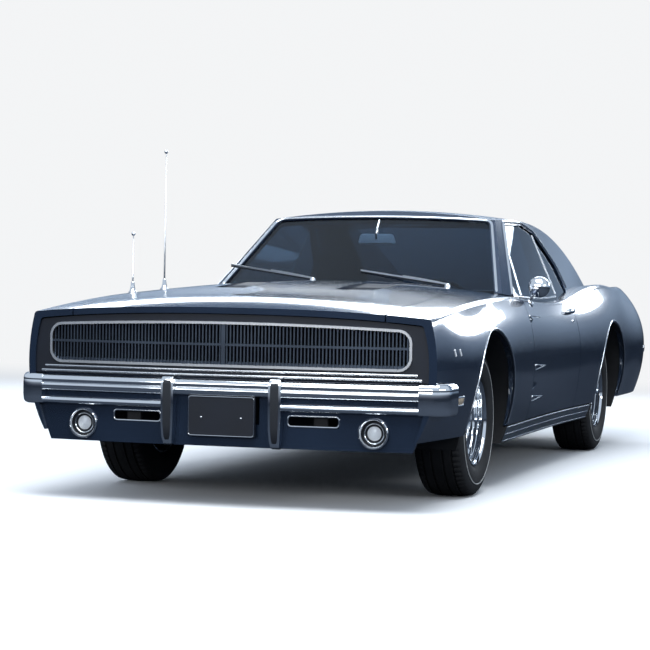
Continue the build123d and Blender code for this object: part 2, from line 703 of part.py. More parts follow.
with BuildPart() as suspension_half:
    for z, spread, pivot_x in [(lower_arm_z, 120, 452), (upper_arm_z, 100, 452)]:
        with BuildSketch(Plane.XY.offset(z - 8)):
            with BuildLine():
                Polyline((pivot_x, front_axle - spread), (560, front_axle - 34),
                         (kingpin_x, front_axle - 18), (kingpin_x, front_axle + 18),
                         (560, front_axle + 34), (pivot_x, front_axle + spread),
                         (pivot_x, front_axle + spread - 40), (530, front_axle),
                         (pivot_x, front_axle - spread + 40), close=True)
            make_face()
            with Locations((kingpin_x, front_axle)):
                Circle(18)
            with Locations((kingpin_x, front_axle)):
                Circle(pin_radius + 0.3, mode=Mode.SUBTRACT)
        extrude(amount=16)
    block(0, 452, front_axle - 60, front_axle + 60, 225, 268)
    block(395, 452.1, front_axle - 150, front_axle + 150, 225, 268)
save(both_sides(suspension_half.part), "front_suspension")

# Rear axle, springs and driveline
with BuildPart() as axle_half:
    across(0, half_track - 46, rear_axle, axle_z, 38)
    across(0, half_track + 18, rear_axle, axle_z, spindle_radius)
    across(half_track - 54, half_track - 46, rear_axle, axle_z, 130)
    with Locations((0, rear_axle, axle_z)):
        Cylinder(95, 160, rotation=(90, 0, 0))
    block(515, 580, rear_axle - 60, rear_axle + 60, 292 + seat_gap, 312)
save(both_sides(axle_half.part), "rear_axle")

floor_top = 235
rear_floor = 440
rail_x = (390, 450)
apron_x = (455, 461)
firewall_y = (-1000, -985)

with BuildPart() as springs_half:
    leaf = [(926, 272), (rear_axle - 62, 262), (rear_axle + 62, 262), (2060, 320)]
    side_prism(leaf + [(y, z + 30) for y, z in reversed(leaf)], 520, 575)
    block(520, 575, 2040, 2060, 300, rear_floor - 40 - seat_gap)
    block(520, 575, kick_up_y + 12 + seat_gap, 945, 262, 302)
save(both_sides(springs_half.part), "leaf_springs")

# Floor, sills, rails, wheelhouses and bulkheads
with BuildPart() as sill:
    add(outer)
    block(780, 1000, front_axle + 340, rear_axle - 340, ride_height, door_bottom - 7, Mode.INTERSECT)
    across(600, 1100, front_axle, arch_z, house_radius - 1, Mode.SUBTRACT)
    across(600, 1100, rear_axle, arch_z, house_radius - 1, Mode.SUBTRACT)
with BuildPart() as firewall:
    add(inner_seat)
    block(0, 797, firewall_y[0], firewall_y[1], ride_height, 870, Mode.INTERSECT)
    block(0, 104, -1100, -900, 200, 374, Mode.SUBTRACT)


def wheelhouse(y, inner_x, window_half, window_top):
    """The left housing over a wheel: a rolled strip with an inner wall, open where the axle passes."""
    with BuildPart() as drum:
        across(inner_x, 1000, y, arch_z, house_radius + 6)
        across(inner_x + 6, 1001, y, arch_z, house_radius, Mode.SUBTRACT)
        block(inner_x - 1, 1001, y - 500, y + 500, -200, 236, Mode.SUBTRACT)
        block(inner_x - 1, inner_x + 7, y - window_half, y + window_half, 200, window_top, Mode.SUBTRACT)
        add(inner_seat, mode=Mode.INTERSECT)
    return drum.part


with BuildPart() as underbody_half:
    block(0, 796, firewall_y[0], kick_up_y + 12, ride_height, floor_top)
    block(0, 105, firewall_y[0] - 1, kick_up_y + 13, ride_height - 1, floor_top + 1, Mode.SUBTRACT)
    block(105, 117, firewall_y[0], kick_up_y + 12, ride_height, 385)
    block(0, 117, firewall_y[0], kick_up_y + 12, 375, 385)
    add(sill.part)
    # Firewall and front rails
    add(firewall.part)
    block(rail_x[0], rail_x[1], -2540, firewall_y[1], 300, 330)
    block(rail_x[0], rail_x[1], firewall_y[0] - 160, firewall_y[1], ride_height, 300)
    block(rail_x[0], rail_x[1], front_axle - 150, front_axle + 150, 268 + seat_gap, 330)
    block(430, 452 - seat_gap, front_axle - 130, front_axle + 130, 320, 560)
    block(rail_x[0], apron_x[1], -2330, firewall_y[1], 560, 570)
    block(apron_x[0], apron_x[1], -2330, firewall_y[1], 320, 765)
    block(rail_x[1] - 10, apron_x[1], -2330, firewall_y[1], 320, 330)
    block(apron_x[0] - 4, apron_x[1] + 1, front_axle - 160, front_axle + 160, 225, 520, Mode.SUBTRACT)
    block(0, 800, -2350, -2338, 300, 330)
    block(0, rail_x[1], -2350, -2290, 300, 330)
    block(380, 455, -2350, -2338, 300, 800)
    block(rail_x[0], rail_x[1], -2560, -2540, 300, 560)
    # Rear floor, rails and bulkheads
    block(0, 596, kick_up_y, kick_up_y + 12, floor_top - 20, rear_floor + 12)
    block(0, 780, kick_up_y, kick_up_y + 12, floor_top - 20, rear_floor)
    block(0, 105, kick_up_y - 1, kick_up_y + 13, 200, 375, Mode.SUBTRACT)
    block(0, 608, kick_up_y, tail_floor_end, rear_floor, rear_floor + 12)
    block(500, 560, kick_up_y, tail_floor_end, rear_floor - 40, rear_floor)
    block(0, 780, rear_axle + 470, tail_floor_end, rear_floor, rear_floor + 12)
    block(0, 600, 1352, 1364, rear_floor, 880)
    block(0, 600, 1200, backlight_base[0] + 8, 868, 880)
    # Wheelhouses over the front and rear wheels
    add(wheelhouse(front_axle, apron_x[0], 160, 520))
    add(wheelhouse(rear_axle, rear_house_inner - 6, 100, rear_floor - 50))
    for y in (front_axle + house_radius + 60, rear_axle - house_radius - 60):
        block(700, 780, y - 30, y + 30, ride_height - 12, ride_height + 1)
    block(rear_house_inner - 7, 1000, kick_up_y, kick_up_y + 12, 200, 238, Mode.SUBTRACT)
save(both_sides(underbody_half.part), "underbody")

# Engine bay
with BuildPart() as engine_half:
    block(0, 190, -1790, -1200, 350 + seat_gap, 690)
    block(0, 120, -1200, -1001, 300, 560)
    block(190, 425, -1560, -1500, 330 + seat_gap, 372)
    with Locations((0, -1500, 745)):
        Cylinder(165, 60)
    with Locations((0, -1500, 700)):
        Cylinder(60, 60)
    block(200, 330, -1760, -1230, 560, 690)
    block(180, 210, -1740, -1250, 520, 640)
    with Locations((0, -1850, 520)):
        Cylinder(215, 30, rotation=(90, 0, 0))
        Cylinder(60, 160, rotation=(90, 0, 0))
    block(-60, 0, -2000, -1000, 200, 900, Mode.SUBTRACT)
save(both_sides(engine_half.part), "engine")
with BuildPart() as radiator_half:
    block(0, 340, -2330, -2295, 330 + seat_gap, 760)
    block(0, 355, -2334, -2291, 740, 775)
    block(0, 355, -2334, -2291, 330 + seat_gap, 370)
save(both_sides(radiator_half.part), "radiator")

with BuildPart() as driveline:
    with BuildSketch(Plane.XZ.offset(999)) as bell:
        with Locations((0, 275)):
            Circle(95)
    extrude(bell.sketch, amount=-420)
    rod((0, -600, 290), (0, rear_axle - 80 - seat_gap, 300), 36)
    block(-300, 300, -660, -610, 196, ride_height - seat_gap)
    block(-80, 80, -660, -610, 196, 260)
save(driveline.part, "driveline")

with BuildPart() as exhaust_half:
    with BuildLine() as pipe_path:
        Polyline((330, -1480, 500), (350, -1150, 187), (430, -700, 187), (430, 2000, 187), (455, 2590, 250))
    with BuildSketch(Plane(origin=(330, -1480, 500), z_dir=(20, 330, -313))):
        Circle(27)
    sweep(path=pipe_path.line, transition=Transition.ROUND)
    with Locations((440, 1700, 200)):
        Cylinder(62, 380, rotation=(90, 0, 0))
    block(420, 440, 1500, 1520, 200, rear_floor - seat_gap)
    block(420, 440, 2380, 2400, 230, rear_floor - seat_gap)
save(both_sides(exhaust_half.part), "exhaust")
with BuildPart() as tank:
    block(-360, 360, 1830, 2360, 250, rear_floor - seat_gap)
    chamfer(tank.edges().filter_by(Axis.X), 25)
save(tank.part, "fuel_tank")

# Cabin
column_start = (365, -640, 700)
column_end = (365, -414, 790)
with BuildPart() as dashboard:
    block(-785, 785, firewall_y[1] + seat_gap, -600, 760, 845)
    side_prism([(-700, 845), (-570, 845), (-545, 800), (-600, 600), (-680, 600)], -785, 785)
    block(200, 530, -600, -536, 700, 838)
    block(-95, 95, -640, -560, 386, 620)
    with BuildLine() as column_line:
        Line(column_start, column_end)
    with BuildSketch(Plane(origin=column_start, z_dir=(0, 226, 90))):
        Circle(24)
    sweep(path=column_line.line)
save(dashboard.part, "dashboard")

column_plane = Plane(origin=column_end, x_dir=(1, 0, 0), z_dir=(0, 226, 90))
with BuildPart() as steering_wheel:
    with BuildSketch(column_plane.offset(6)):
        Circle(52)
        Rectangle(380, 30)
    extrude(amount=22)
    with BuildSketch(Plane(origin=column_end, x_dir=(0, 226, 90), z_dir=(1, 0, 0))) as rim_section:
        with Locations((17, 190)):
            Circle(12)
    revolve(rim_section.sketch, axis=Axis(column_end, (0, 226, 90)))
    with BuildSketch(column_plane) as stub:
        Circle(10)
    extrude(stub.sketch, amount=10)
save(steering_wheel.part, "steering_wheel")

with BuildPart() as seats_half:
    side_prism([(-190, floor_top + seat_gap), (240, floor_top + seat_gap), (250, 440), (-160, 470),
                (-215, 440)], 125, 620)
    side_prism([(150, 300), (270, 300), (420, 860), (390, 900), (330, 900), (190, 470)], 125, 620)
save(both_sides(seats_half.part), "front_seats")
with BuildPart() as rear_seat:
    block(-560, 560, 860, 1270, rear_floor + 12 + seat_gap, 580)
    side_prism([(1190, 560), (1340, 560), (1345, 840), (1290, 850), (1240, 830)], -575, 575)
    block(-560, 560, 800, 899.7, 400, 560)
save(rear_seat.part, "rear_seat")

# Small outside pieces
with BuildPart() as door_mirror:
    with Locations((908, -560, 950)):
        Sphere(54)
        Box(200, 80, 200, mode=Mode.INTERSECT)
    rod((872, -560, 870), (900, -560, 930), 9)
    add(door.part, mode=Mode.SUBTRACT)
save(door_mirror.part, "door_mirror")

aerial_mounts = [(-800, -1700, 290, 5), (-790, -1330, 700, 4)]
with BuildPart() as aerials:
    for x, y, height, radius in aerial_mounts:
        with Locations((x, y, 880 + height / 2)):
            Cylinder(radius, height)
        with Locations((x, y, 905)):
            Cone(22, 8, 70)
        with Locations((x, y, 880 + height)):
            Sphere(10)
    add(outer.mirror(Plane.YZ), mode=Mode.SUBTRACT)
save(aerials.part, "aerials")

wiper_pivots = [-200, 500]
wiper_reach = 230          # from a pivot to the middle of its blade
blade_length = 470
with BuildPart() as wipers:
    for x in wiper_pivots:
        rod((x, -800, 920), (x, -806, 985), 12)
        rod((x, -806, 980), (x - wiper_reach, -752, 988), 6)
        blade_x = x - wiper_reach
        rod((blade_x - blade_length / 2, -752, 986), (blade_x + blade_length / 2, -752, 990), 7)
    add(outer, mode=Mode.SUBTRACT)
    add(outer.mirror(Plane.YZ), mode=Mode.SUBTRACT)
save(wipers.part, "wipers")

with BuildPart() as markers_half:
    block(890, 956, front_axle - 640, front_axle - 530, 440, 480)
    block(900, 978, 2330, 2400, 560, 590)
    add(outer, mode=Mode.SUBTRACT)
save(both_sides(markers_half.part), "side_markers")
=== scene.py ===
"""The look of the muscle car: paint, brightwork, glass, tyres, seats and fittings on its frame."""

import bpy
import bmesh
from math import cos, pi, radians, sin, sqrt
from mathutils import Matrix, Vector
from mathutils.bvhtree import BVHTree


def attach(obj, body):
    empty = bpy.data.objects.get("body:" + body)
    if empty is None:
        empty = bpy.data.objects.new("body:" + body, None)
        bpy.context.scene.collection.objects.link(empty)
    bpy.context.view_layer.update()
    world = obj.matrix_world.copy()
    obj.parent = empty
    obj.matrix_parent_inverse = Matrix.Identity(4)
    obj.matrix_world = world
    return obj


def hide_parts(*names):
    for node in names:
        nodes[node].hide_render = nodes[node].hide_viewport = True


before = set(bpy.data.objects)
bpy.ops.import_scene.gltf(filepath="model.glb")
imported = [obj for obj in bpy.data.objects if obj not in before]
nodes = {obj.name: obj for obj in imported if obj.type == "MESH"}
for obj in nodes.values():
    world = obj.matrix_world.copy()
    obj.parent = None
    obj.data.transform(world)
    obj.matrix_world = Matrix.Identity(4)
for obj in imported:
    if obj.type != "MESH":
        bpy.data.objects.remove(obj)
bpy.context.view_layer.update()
scene = bpy.context.scene

# Sizes taken from the CAD, in metres
front_axle = -1.6315
rear_axle = 1.3405
half_track = 0.758
axle_z = 0.338
arch_z = 0.36
nose_front = -2.6195
nose_bow = 7.4
tail_rear = 2.5965
tail_bow = 6.5

# Where rays start: beside the left side, beside the glass, and over the bonnet. near is how far
# outside that place most of them begin, and belt_z stands in for a top that a ray misses
beside = 0.99
beside_glass = 0.95
above = 1.1
near = 0.3
belt_z = 0.92

hands = ((1, "left"), (-1, "right"))
axles = (("front", front_axle), ("rear", rear_axle))
doors = ("door_left", "door_right")
to_side, to_front, to_rear = (-1, 0, 0), (0, -1, 0), (0, 1, 0)
upward, downward = (0, 0, 1), (0, 0, -1)

# Materials


def feed(node, inputs):
    """Sets inputs of a shader node, each to a value or to another node's output."""
    for name, value in inputs.items():
        if isinstance(value, bpy.types.NodeSocket):
            node.id_data.links.new(value, node.inputs[name])
        else:
            node.inputs[name].default_value = value


def add_node(tree, kind, inputs, **settings):
    """A new shader node with its settings and inputs."""
    node = tree.nodes.new("ShaderNode" + kind)
    for name, value in settings.items():
        setattr(node, name, value)
    feed(node, inputs)
    return node


def color_ramp(tree, factor, low, high):
    """A ramp between two (position, color) ends."""
    ramp = add_node(tree, "ValToRGB", {"Fac": factor})
    for element, (position, color) in zip(ramp.color_ramp.elements, (low, high)):
        element.position = position
        element.color = (*color, 1)
    return ramp.outputs["Color"]


def shader(name, color, metallic=0.0, roughness=0.5, coat=0.0, transmission=0.0, ior=1.5,
           spread=0.06, grain=60.0, bump=0.0, bump_scale=400.0, tint=0.0, tint_scale=6.0,
           cells=False):
    """A Principled finish whose roughness, relief and tint vary with procedural noise."""
    mat = bpy.data.materials.new(name)
    mat.use_nodes = True
    tree = mat.node_tree
    bsdf = tree.nodes["Principled BSDF"]
    feed(bsdf, {"Base Color": (*color, 1), "Metallic": metallic, "Roughness": roughness, "IOR": ior,
                "Coat Weight": coat, "Coat Roughness": 0.03, "Transmission Weight": transmission})
    place = tree.nodes.new("ShaderNodeTexCoord").outputs["Object"]
    noise = add_node(tree, "TexNoise", {"Scale": grain, "Detail": 4.0, "Vector": place})
    wear = add_node(tree, "MapRange", {"To Min": max(0.0, roughness - spread),
                                       "To Max": min(1.0, roughness + spread),
                                       "Value": noise.outputs["Fac"]})
    feed(bsdf, {"Roughness": wear.outputs["Result"]})
    if tint:
        cloud = add_node(tree, "TexNoise", {"Scale": tint_scale, "Detail": 5.0, "Vector": place})
        darker = [c * (1 - tint) for c in color]
        lighter = [min(1, c * (1 + tint)) for c in color]
        clouded = color_ramp(tree, cloud.outputs["Fac"], (0.35, darker), (0.65, lighter))
        feed(bsdf, {"Base Color": clouded})
    if bump:
        kind, height = ("TexVoronoi", "Distance") if cells else ("TexNoise", "Fac")
        relief = add_node(tree, kind, {"Scale": bump_scale, "Vector": place})
        dents = add_node(tree, "Bump", {"Strength": bump, "Distance": 0.001,
                                        "Height": relief.outputs[height]})
        feed(bsdf, {"Normal": dents.outputs["Normal"]})
    return mat


paint = shader("navy_paint", (0.025, 0.043, 0.08), 0.5, 0.19, coat=1.0, spread=0.04, grain=900,
               bump=0.02, bump_scale=350, tint=0.1, tint_scale=3)
# recess_shade_paint is a much darker, matte copy of the navy paint, used on the recessed nose frame
# and on the plate panel under the bumper: painted shade.
recess_shade_paint = shader("recess_shade_paint", (0.003, 0.006, 0.014), 0.0, 0.52, spread=0.06, grain=300,
                      bump=0.05, bump_scale=300, tint=0.15)
white_enamel = shader("white_enamel", (0.84, 0.87, 0.9), 0.0, 0.35, coat=0.3, spread=0.05, grain=80,
                      tint=0.03)
chrome = shader("chrome", (0.86, 0.88, 0.9), 1.0, 0.07, spread=0.03, grain=18, tint=0.03)
bright_trim = shader("bright_trim", (0.82, 0.84, 0.86), 1.0, 0.14, spread=0.05, grain=80, tint=0.03)
brushed_trim = shader("brushed_trim", (0.9, 0.92, 0.94), 1.0, 0.3, spread=0.06, grain=160,
                      tint=0.03)
dark_bars = shader("argent_bars", (0.07, 0.088, 0.118), 0.8, 0.35, spread=0.08, grain=200,
                   tint=0.15)
grille_black = shader("grille_black", (0.004, 0.007, 0.013), 0.0, 0.6, spread=0.1, grain=90,
                      bump=0.2, bump_scale=500)
glass = shader("tinted_glass", (0.25, 0.33, 0.41), 0.0, 0.01, transmission=1.0, ior=1.3,
               spread=0.01, grain=4)
rubber = shader("tyre_rubber", (0.018, 0.018, 0.019), 0.0, 0.72, spread=0.1, grain=50, bump=0.25,
                bump_scale=700, tint=0.25, tint_scale=9)
white_rubber = shader("white_rubber", (0.55, 0.56, 0.55), 0.0, 0.6, spread=0.08, grain=60, bump=0.1,
                      bump_scale=600, tint=0.06)
seal_rubber = shader("seal_rubber", (0.008, 0.011, 0.017), 0.0, 0.65, spread=0.08, grain=70,
                     bump=0.1, bump_scale=500)
satin_black = shader("satin_black", (0.008, 0.012, 0.021), 0.0, 0.42, spread=0.1, grain=40,
                     bump=0.08, bump_scale=300, tint=0.2)
underseal = shader("underseal", (0.02, 0.02, 0.022), 0.0, 0.85, spread=0.1, grain=30, bump=0.6,
                   bump_scale=220, tint=0.3, tint_scale=4, cells=True)
steel = shader("bare_steel", (0.32, 0.33, 0.34), 1.0, 0.36, spread=0.12, grain=60, tint=0.12,
               tint_scale=14, bump=0.05)
iron = shader("cast_iron", (0.09, 0.085, 0.08), 0.7, 0.66, spread=0.12, grain=80, tint=0.25,
              tint_scale=20, bump=0.35, bump_scale=260)
engine_paint = shader("engine_enamel", (0.42, 0.09, 0.02), 0.0, 0.36, coat=0.3, spread=0.1,
                      grain=60, tint=0.1, bump=0.12, bump_scale=150)
silver_wheel = shader("wheel_argent", (0.17, 0.185, 0.2), 0.85, 0.32, spread=0.06, grain=300,
                      tint=0.08, bump=0.04)
vinyl = shader("seat_vinyl", (0.02, 0.023, 0.03), 0.0, 0.46, spread=0.08, grain=90, bump=0.35,
               bump_scale=520, tint=0.12, cells=True)
hard_vinyl = shader("trim_vinyl", (0.024, 0.027, 0.034), 0.0, 0.52, spread=0.08, grain=90, bump=0.3,
                    bump_scale=650, tint=0.1, cells=True)
red_lens = shader("red_lens", (0.36, 0.008, 0.008), 0.0, 0.12, coat=0.8, spread=0.04, grain=30,
                  bump=0.25, bump_scale=260, tint=0.15, tint_scale=25)
amber_lens = shader("amber_lens", (0.62, 0.2, 0.02), 0.0, 0.14, coat=0.8, spread=0.04, grain=30,
                    bump=0.25, bump_scale=260, tint=0.1)
# bright_painted_lens is near-white and mostly opaque, not clear glass: painted brightness standing
# for a lamp lens that looks lit.
bright_painted_lens = shader("bright_painted_lens", (0.88, 0.91, 0.94), 0.0, 0.1, transmission=0.25, coat=0.5,
                    ior=1.45, spread=0.03, grain=30, bump=0.3, bump_scale=240)
reflector = shader("reflector", (0.93, 0.94, 0.95), 1.0, 0.12, spread=0.05, grain=50, tint=0.02)
exhaust_metal = shader("aluminised_pipe", (0.25, 0.24, 0.23), 1.0, 0.5, spread=0.14, grain=40,
                       tint=0.25, tint_scale=8, bump=0.08)
sill_metal = shader("sill_aluminium", (0.4, 0.43, 0.47), 1.0, 0.34, spread=0.08, grain=120,
                    tint=0.05, bump=0.05)
marker_lens = shader("marker_lens", (0.62, 0.5, 0.36), 0.0, 0.14, coat=0.8, spread=0.04, grain=30,
                     bump=0.25, bump_scale=260, tint=0.1)
pale_plastic = shader("pale_plastic", (0.74, 0.79, 0.84), 0.0, 0.4, spread=0.06, grain=60,
                      tint=0.04)
mirror_glass = shader("mirror_glass", (0.75, 0.8, 0.84), 1.0, 0.02, spread=0.01, grain=10,
                      tint=0.02)

finishes = (
    (paint, "cowl_panel door front_fender front_valance hood quarter_panel rear_deck roof "
            "trunk_lid"),
    (glass, "backlight door_glass quarter_glass windshield"),
    (chrome, "aerials door_mirror front_bumper rear_bumper"),
    (brushed_trim, "grille_ring wipers"),
    (hard_vinyl, "dashboard steering_wheel"),
    (vinyl, "front_seats rear_seat"),
    (iron, "driveline knuckle leaf_springs rear_axle"),
    (satin_black, "front_suspension radiator tail_panel"),
    (silver_wheel, "wheel_front wheel_rear"),
    (rubber, "tyre_front tyre_rear"),
    (engine_paint, "engine"), (exhaust_metal, "exhaust"), (bright_painted_lens, "front_lamps"),
    (steel, "fuel_tank"), (dark_bars, "grille"), (grille_black, "grille_back"),
    # The nose frame takes the darker copy of the navy: painted shade in the recess.
    (recess_shade_paint, "nose_frame"), (amber_lens, "side_markers"), (red_lens, "tail_lamps"),
    (underseal, "underbody"),
)
node_finish = {stem: mat for mat, stems in finishes for stem in stems.split()}
for name, node in nodes.items():
    node.data.materials.clear()
    node.data.materials.append(node_finish[name.removesuffix("_left").removesuffix("_right")])
    node.data.set_sharp_from_angle(angle=radians(28))

# Building helpers


def piece(name, verts, faces, mat, body="body", angle=35, slot=None):
    """One mesh object that rides on a body."""
    mesh = bpy.data.meshes.new(name)
    mesh.from_pydata([tuple(v) for v in verts], [], faces)
    work = bmesh.new()
    work.from_mesh(mesh)
    bmesh.ops.remove_doubles(work, verts=work.verts, dist=1e-6)
    bmesh.ops.recalc_face_normals(work, faces=work.faces)
    work.to_mesh(mesh)
    work.free()
    mesh.shade_smooth()
    mesh.set_sharp_from_angle(angle=radians(angle))
    mesh.materials.append(mat)
    obj = bpy.data.objects.new(name, mesh)
    scene.collection.objects.link(obj)
    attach(obj, body)
    return obj


def mm(*rows):
    """Rows of millimetres as tuples of metres."""
    return [tuple(value / 1000 for value in row) for row in rows]


def mirror_points(verts):
    """Points carried over to the other side of the car."""
    return [Vector((-v[0], v[1], v[2])) for v in verts]


def twin(name, verts, faces, mat, bodies=("body", "body"), **more):
    """A left piece and its mirrored right twin."""
    left = piece(name + "_left", verts, faces, mat, bodies[0], **more)
    right = piece(name + "_right", mirror_points(verts), [tuple(reversed(f)) for f in faces], mat,
                  bodies[1], **more)
    return left, right


def ring_faces(rings, n, looped=False, closed=True):
    """Quads between rings of n points. looped closes the row of rings, closed closes each ring."""
    faces = []
    for i in range(rings if looped else rings - 1):
        j = (i + 1) % rings
        faces += [(i * n + k, j * n + k, j * n + (k + 1) % n, i * n + (k + 1) % n)
                  for k in range(n if closed else n - 1)]
    return faces


def tube_faces(rings, n):
    """Quads between rings of n points, and a face at each end."""
    return ring_faces(rings, n) + [tuple(range(n)), tuple(range((rings - 1) * n, rings * n))]


def joined(parts):
    """Several (vertices, faces) as one."""
    verts, faces = [], []
    for v, f in parts:
        base = len(verts)
        verts += v
        faces += [tuple(base + i for i in face) for face in f]
    return verts, faces


def ring_mesh(profile, centre, axis, segments=72):
    """A profile [(along, radius)] turned about an axis, and open where it ends on the axis."""
    axis = Vector(axis).normalized()
    side = Vector((0, 0, 1)) if abs(axis.x) > 0.9 else axis.orthogonal().normalized()
    other = axis.cross(side)
    verts = []
    for i in range(segments):
        a = 2 * pi * i / segments
        out = side * cos(a) + other * sin(a)
        verts += [Vector(centre) + axis * along + out * radius for along, radius in profile]
    closed = profile[0][1] > 0 and profile[-1][1] > 0
    return verts, ring_faces(segments, len(profile), True, closed)


def lathe(name, profile, centre, axis, mat, segments=72, body="body", **more):
    """A turned piece."""
    return piece(name, *ring_mesh(profile, centre, axis, segments), mat, body, **more)


def sweep_mesh(path, profile, normals, closed=False):
    """A profile [(across, out)] carried along a path whose outward directions are given."""
    path = [Vector(p) for p in path]
    verts = []
    count = len(path)
    for i, point in enumerate(path):
        if closed:
            way = path[(i + 1) % count] - path[i - 1]
        else:
            way = path[min(i + 1, count - 1)] - path[max(i - 1, 0)]
        way.normalize()
        out = Vector(normals[i]) if isinstance(normals, list) else Vector(normals)
        across = way.cross(out).normalized()
        out = across.cross(way).normalized()
        verts += [point + across * a + out * b for a, b in profile]
    n = len(profile)
    return verts, ring_faces(count, n, True) if closed else tube_faces(count, n)


def sweep(name, path, profile, normals, mat, body="body", closed=False, **more):
    """A piece swept along a path."""
    return piece(name, *sweep_mesh(path, profile, normals, closed), mat, body, **more)


def twin_sweep(name, path, profile, normals, mat, bodies=("body", "body"), closed=False, **more):
    """A swept piece on the left and its right twin."""
    return twin(name, *sweep_mesh(path, profile, normals, closed), mat, bodies, **more)


def round_profile(radius, sides=10, flat=1.0):
    """A circle to sweep, or an oval when flat isn't 1."""
    return [(radius * cos(2 * pi * i / sides), flat * radius * sin(2 * pi * i / sides))
            for i in range(sides)]


def ball_profile(radius):
    """Half a circle to turn into a ball."""
    return [(radius * -cos(radians(a)), radius * sin(radians(a))) for a in range(0, 181, 15)]


def half_round(width, height, sides=6):
    """A D-shaped trim section lying on a surface."""
    section = [(width / 2 * cos(pi * i / sides), height * sin(pi * i / sides))
               for i in range(sides + 1)]
    return section + [(-width / 2, -height * 0.6), (width / 2, -height * 0.6)]


def fine(points, step=0.02):
    """A polyline with more points, as Vectors."""
    points = [Vector(p) for p in points]
    out = [points[0]]
    for a, b in zip(points, points[1:]):
        parts = max(1, int((b - a).length / step))
        out += [a.lerp(b, (i + 1) / parts) for i in range(parts)]
    return out


def rounded(points, radius, closed=False, arc=6):
    """A polyline with its corners rounded by short curves."""
    points = [Vector(p) for p in points]
    out = []
    count = len(points)
    for i, p in enumerate(points):
        if not closed and i in (0, count - 1):
            out.append(p)
            continue
        a = points[i - 1]
        b = points[(i + 1) % count]
        start = p + (a - p).normalized() * min(radius, (a - p).length * 0.45)
        end = p + (b - p).normalized() * min(radius, (b - p).length * 0.45)
        for k in range(arc + 1):
            t = k / arc
            out.append(start * (1 - t) ** 2 + p * 2 * t * (1 - t) + end * t ** 2)
    return out


def tree_of(*names):
    """A ray target made of some CAD nodes."""
    verts, faces = [], []
    for name in names:
        mesh = nodes[name].data
        base = len(verts)
        verts += [v.co.copy() for v in mesh.vertices]
        faces += [tuple(base + i for i in p.vertices) for p in mesh.polygons]
    return BVHTree.FromPolygons(verts, faces)


skin_tree = tree_of("front_fender_left", "door_left", "quarter_panel_left", "roof", "hood",
                    "cowl_panel", "rear_deck", "trunk_lid", "underbody")
side_tree = tree_of("front_fender_left", "door_left", "quarter_panel_left")
sill_tree = tree_of("underbody")
glass_tree = tree_of("door_glass_left")
top_tree = tree_of("hood", "cowl_panel", "rear_deck", "trunk_lid", "front_fender_left")
hood_tree = tree_of("hood")


def cast(point, direction, tree=skin_tree, reach=0.6):
    """The place and outward direction where a ray from outside meets the skin."""
    direction = Vector(direction).normalized()
    hit, normal = tree.ray_cast(Vector(point) - direction * reach, direction)[:2]
    if hit is None:
        return None
    return hit, -normal if normal.dot(direction) > 0 else normal


def flank(y, z, tree=side_tree):
    """The place and outward direction on the left side at y and z."""
    return cast((beside, y, z), to_side, tree, near)


def top_point(x, y, tree=top_tree):
    """The place and outward direction on top of the body at x and y."""
    return cast((x, y, above), downward, tree, near) or (Vector((x, y, belt_z)), Vector(upward))


def on_skin(points, direction, tree=skin_tree, reach=0.6):
    """Points moved onto the skin along a direction, with the skin's outward directions."""
    found = [cast(p, direction, tree, reach) for p in points]
    return [hit[0] for hit in found if hit], [hit[1] for hit in found if hit]


def side_trim(name, line, width, height, mat, bodies=("body", "body"), tree=side_tree,
              closed=False):
    """A trim on the left side along (y, z) points, and its right twin."""
    path, normals = on_skin([(beside, y, z) for y, z in line], to_side, tree, near)
    return twin_sweep(name, path, half_round(width, height), normals, mat, bodies, closed)


def plain_box(low, high):
    """A box between two opposite corners."""
    corners = [Vector((x, y, z)) for z in (low[2], high[2]) for y in (low[1], high[1])
               for x in (low[0], high[0])]
    return corners, [(0, 1, 3, 2), (4, 6, 7, 5), (0, 4, 5, 1), (2, 3, 7, 6), (0, 2, 6, 4),
                     (1, 5, 7, 3)]


def soften(obj, width, segments=3):
    """Rounds the edges of a box-like piece."""
    mod = obj.modifiers.new("round", "BEVEL")
    mod.width = width
    mod.segments = segments
    mod.limit_method = "ANGLE"
    mod.harden_normals = False


# Tyres and wheels

tyre_section = mm((60, 196), (82, 189), (88, 194), (93.5, 202), (100, 206), (105.5, 214),
                  (110, 226), (113.5, 242), (115, 258), (114.6, 272), (112.8, 288), (109.8, 301),
                  (106, 312), (101, 321), (95, 328), (88, 332.5), (70, 335.2), (69, 327),
                  (62.5, 327), (61.5, 336), (30, 337.6), (29, 329.5), (22.5, 329.5), (21.5, 337.8))
tread_pitches = 72
shoulder_rows = (14, 15, 16)
wavy_rows = 20
wave, notch = 0.01, 0.0055


def tyre(name, x, y, side, body):
    """A tyre with grooves, shoulder blocks and a raised sidewall line."""
    section = tyre_section + [(-a, r) for a, r in reversed(tyre_section)]
    count = len(section)
    segments = tread_pitches * 3
    verts = []
    for i in range(segments):
        a = 2 * pi * i / segments
        for k, (along, radius) in enumerate(section):
            row = min(k, count - 1 - k)
            turn = a + (wave * sin(2 * pi * i / 6) if row >= wavy_rows else 0.0)
            if row in shoulder_rows and i % 3 == 0:
                radius -= notch
            verts.append(Vector((x + side * along, y + radius * sin(turn),
                                 axle_z + radius * cos(turn))))
    obj = piece(name + "_tread", verts, ring_faces(segments, count, True, False), rubber, body,
                angle=28, slot="tyre")
    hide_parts(name)
    band = mm((113.6, 278), (115.2, 279), (114.9, 282.6), (113.2, 283.2))
    lathe(name + "_line", [(side * a, r) for a, r in band], (x, y, axle_z), (1, 0, 0), white_rubber,
          120, body, slot="tyre")


rim_section = mm((100, 200), (101.2, 199), (101, 195), (96, 192.5), (90, 190.5), (88, 186),
                 (80, 184.5), (64, 183.5), (62, 179), (56, 178), (44, 176.5), (42, 171.5),
                 (36, 170), (24, 168), (20, 164), (10, 162), (-60, 166), (-90, 184), (-99, 192),
                 (-100, 200), (-92, 200), (-88, 188), (-60, 186), (-42, 172), (42, 173.5),
                 (60, 186), (88, 188.5), (92, 200))


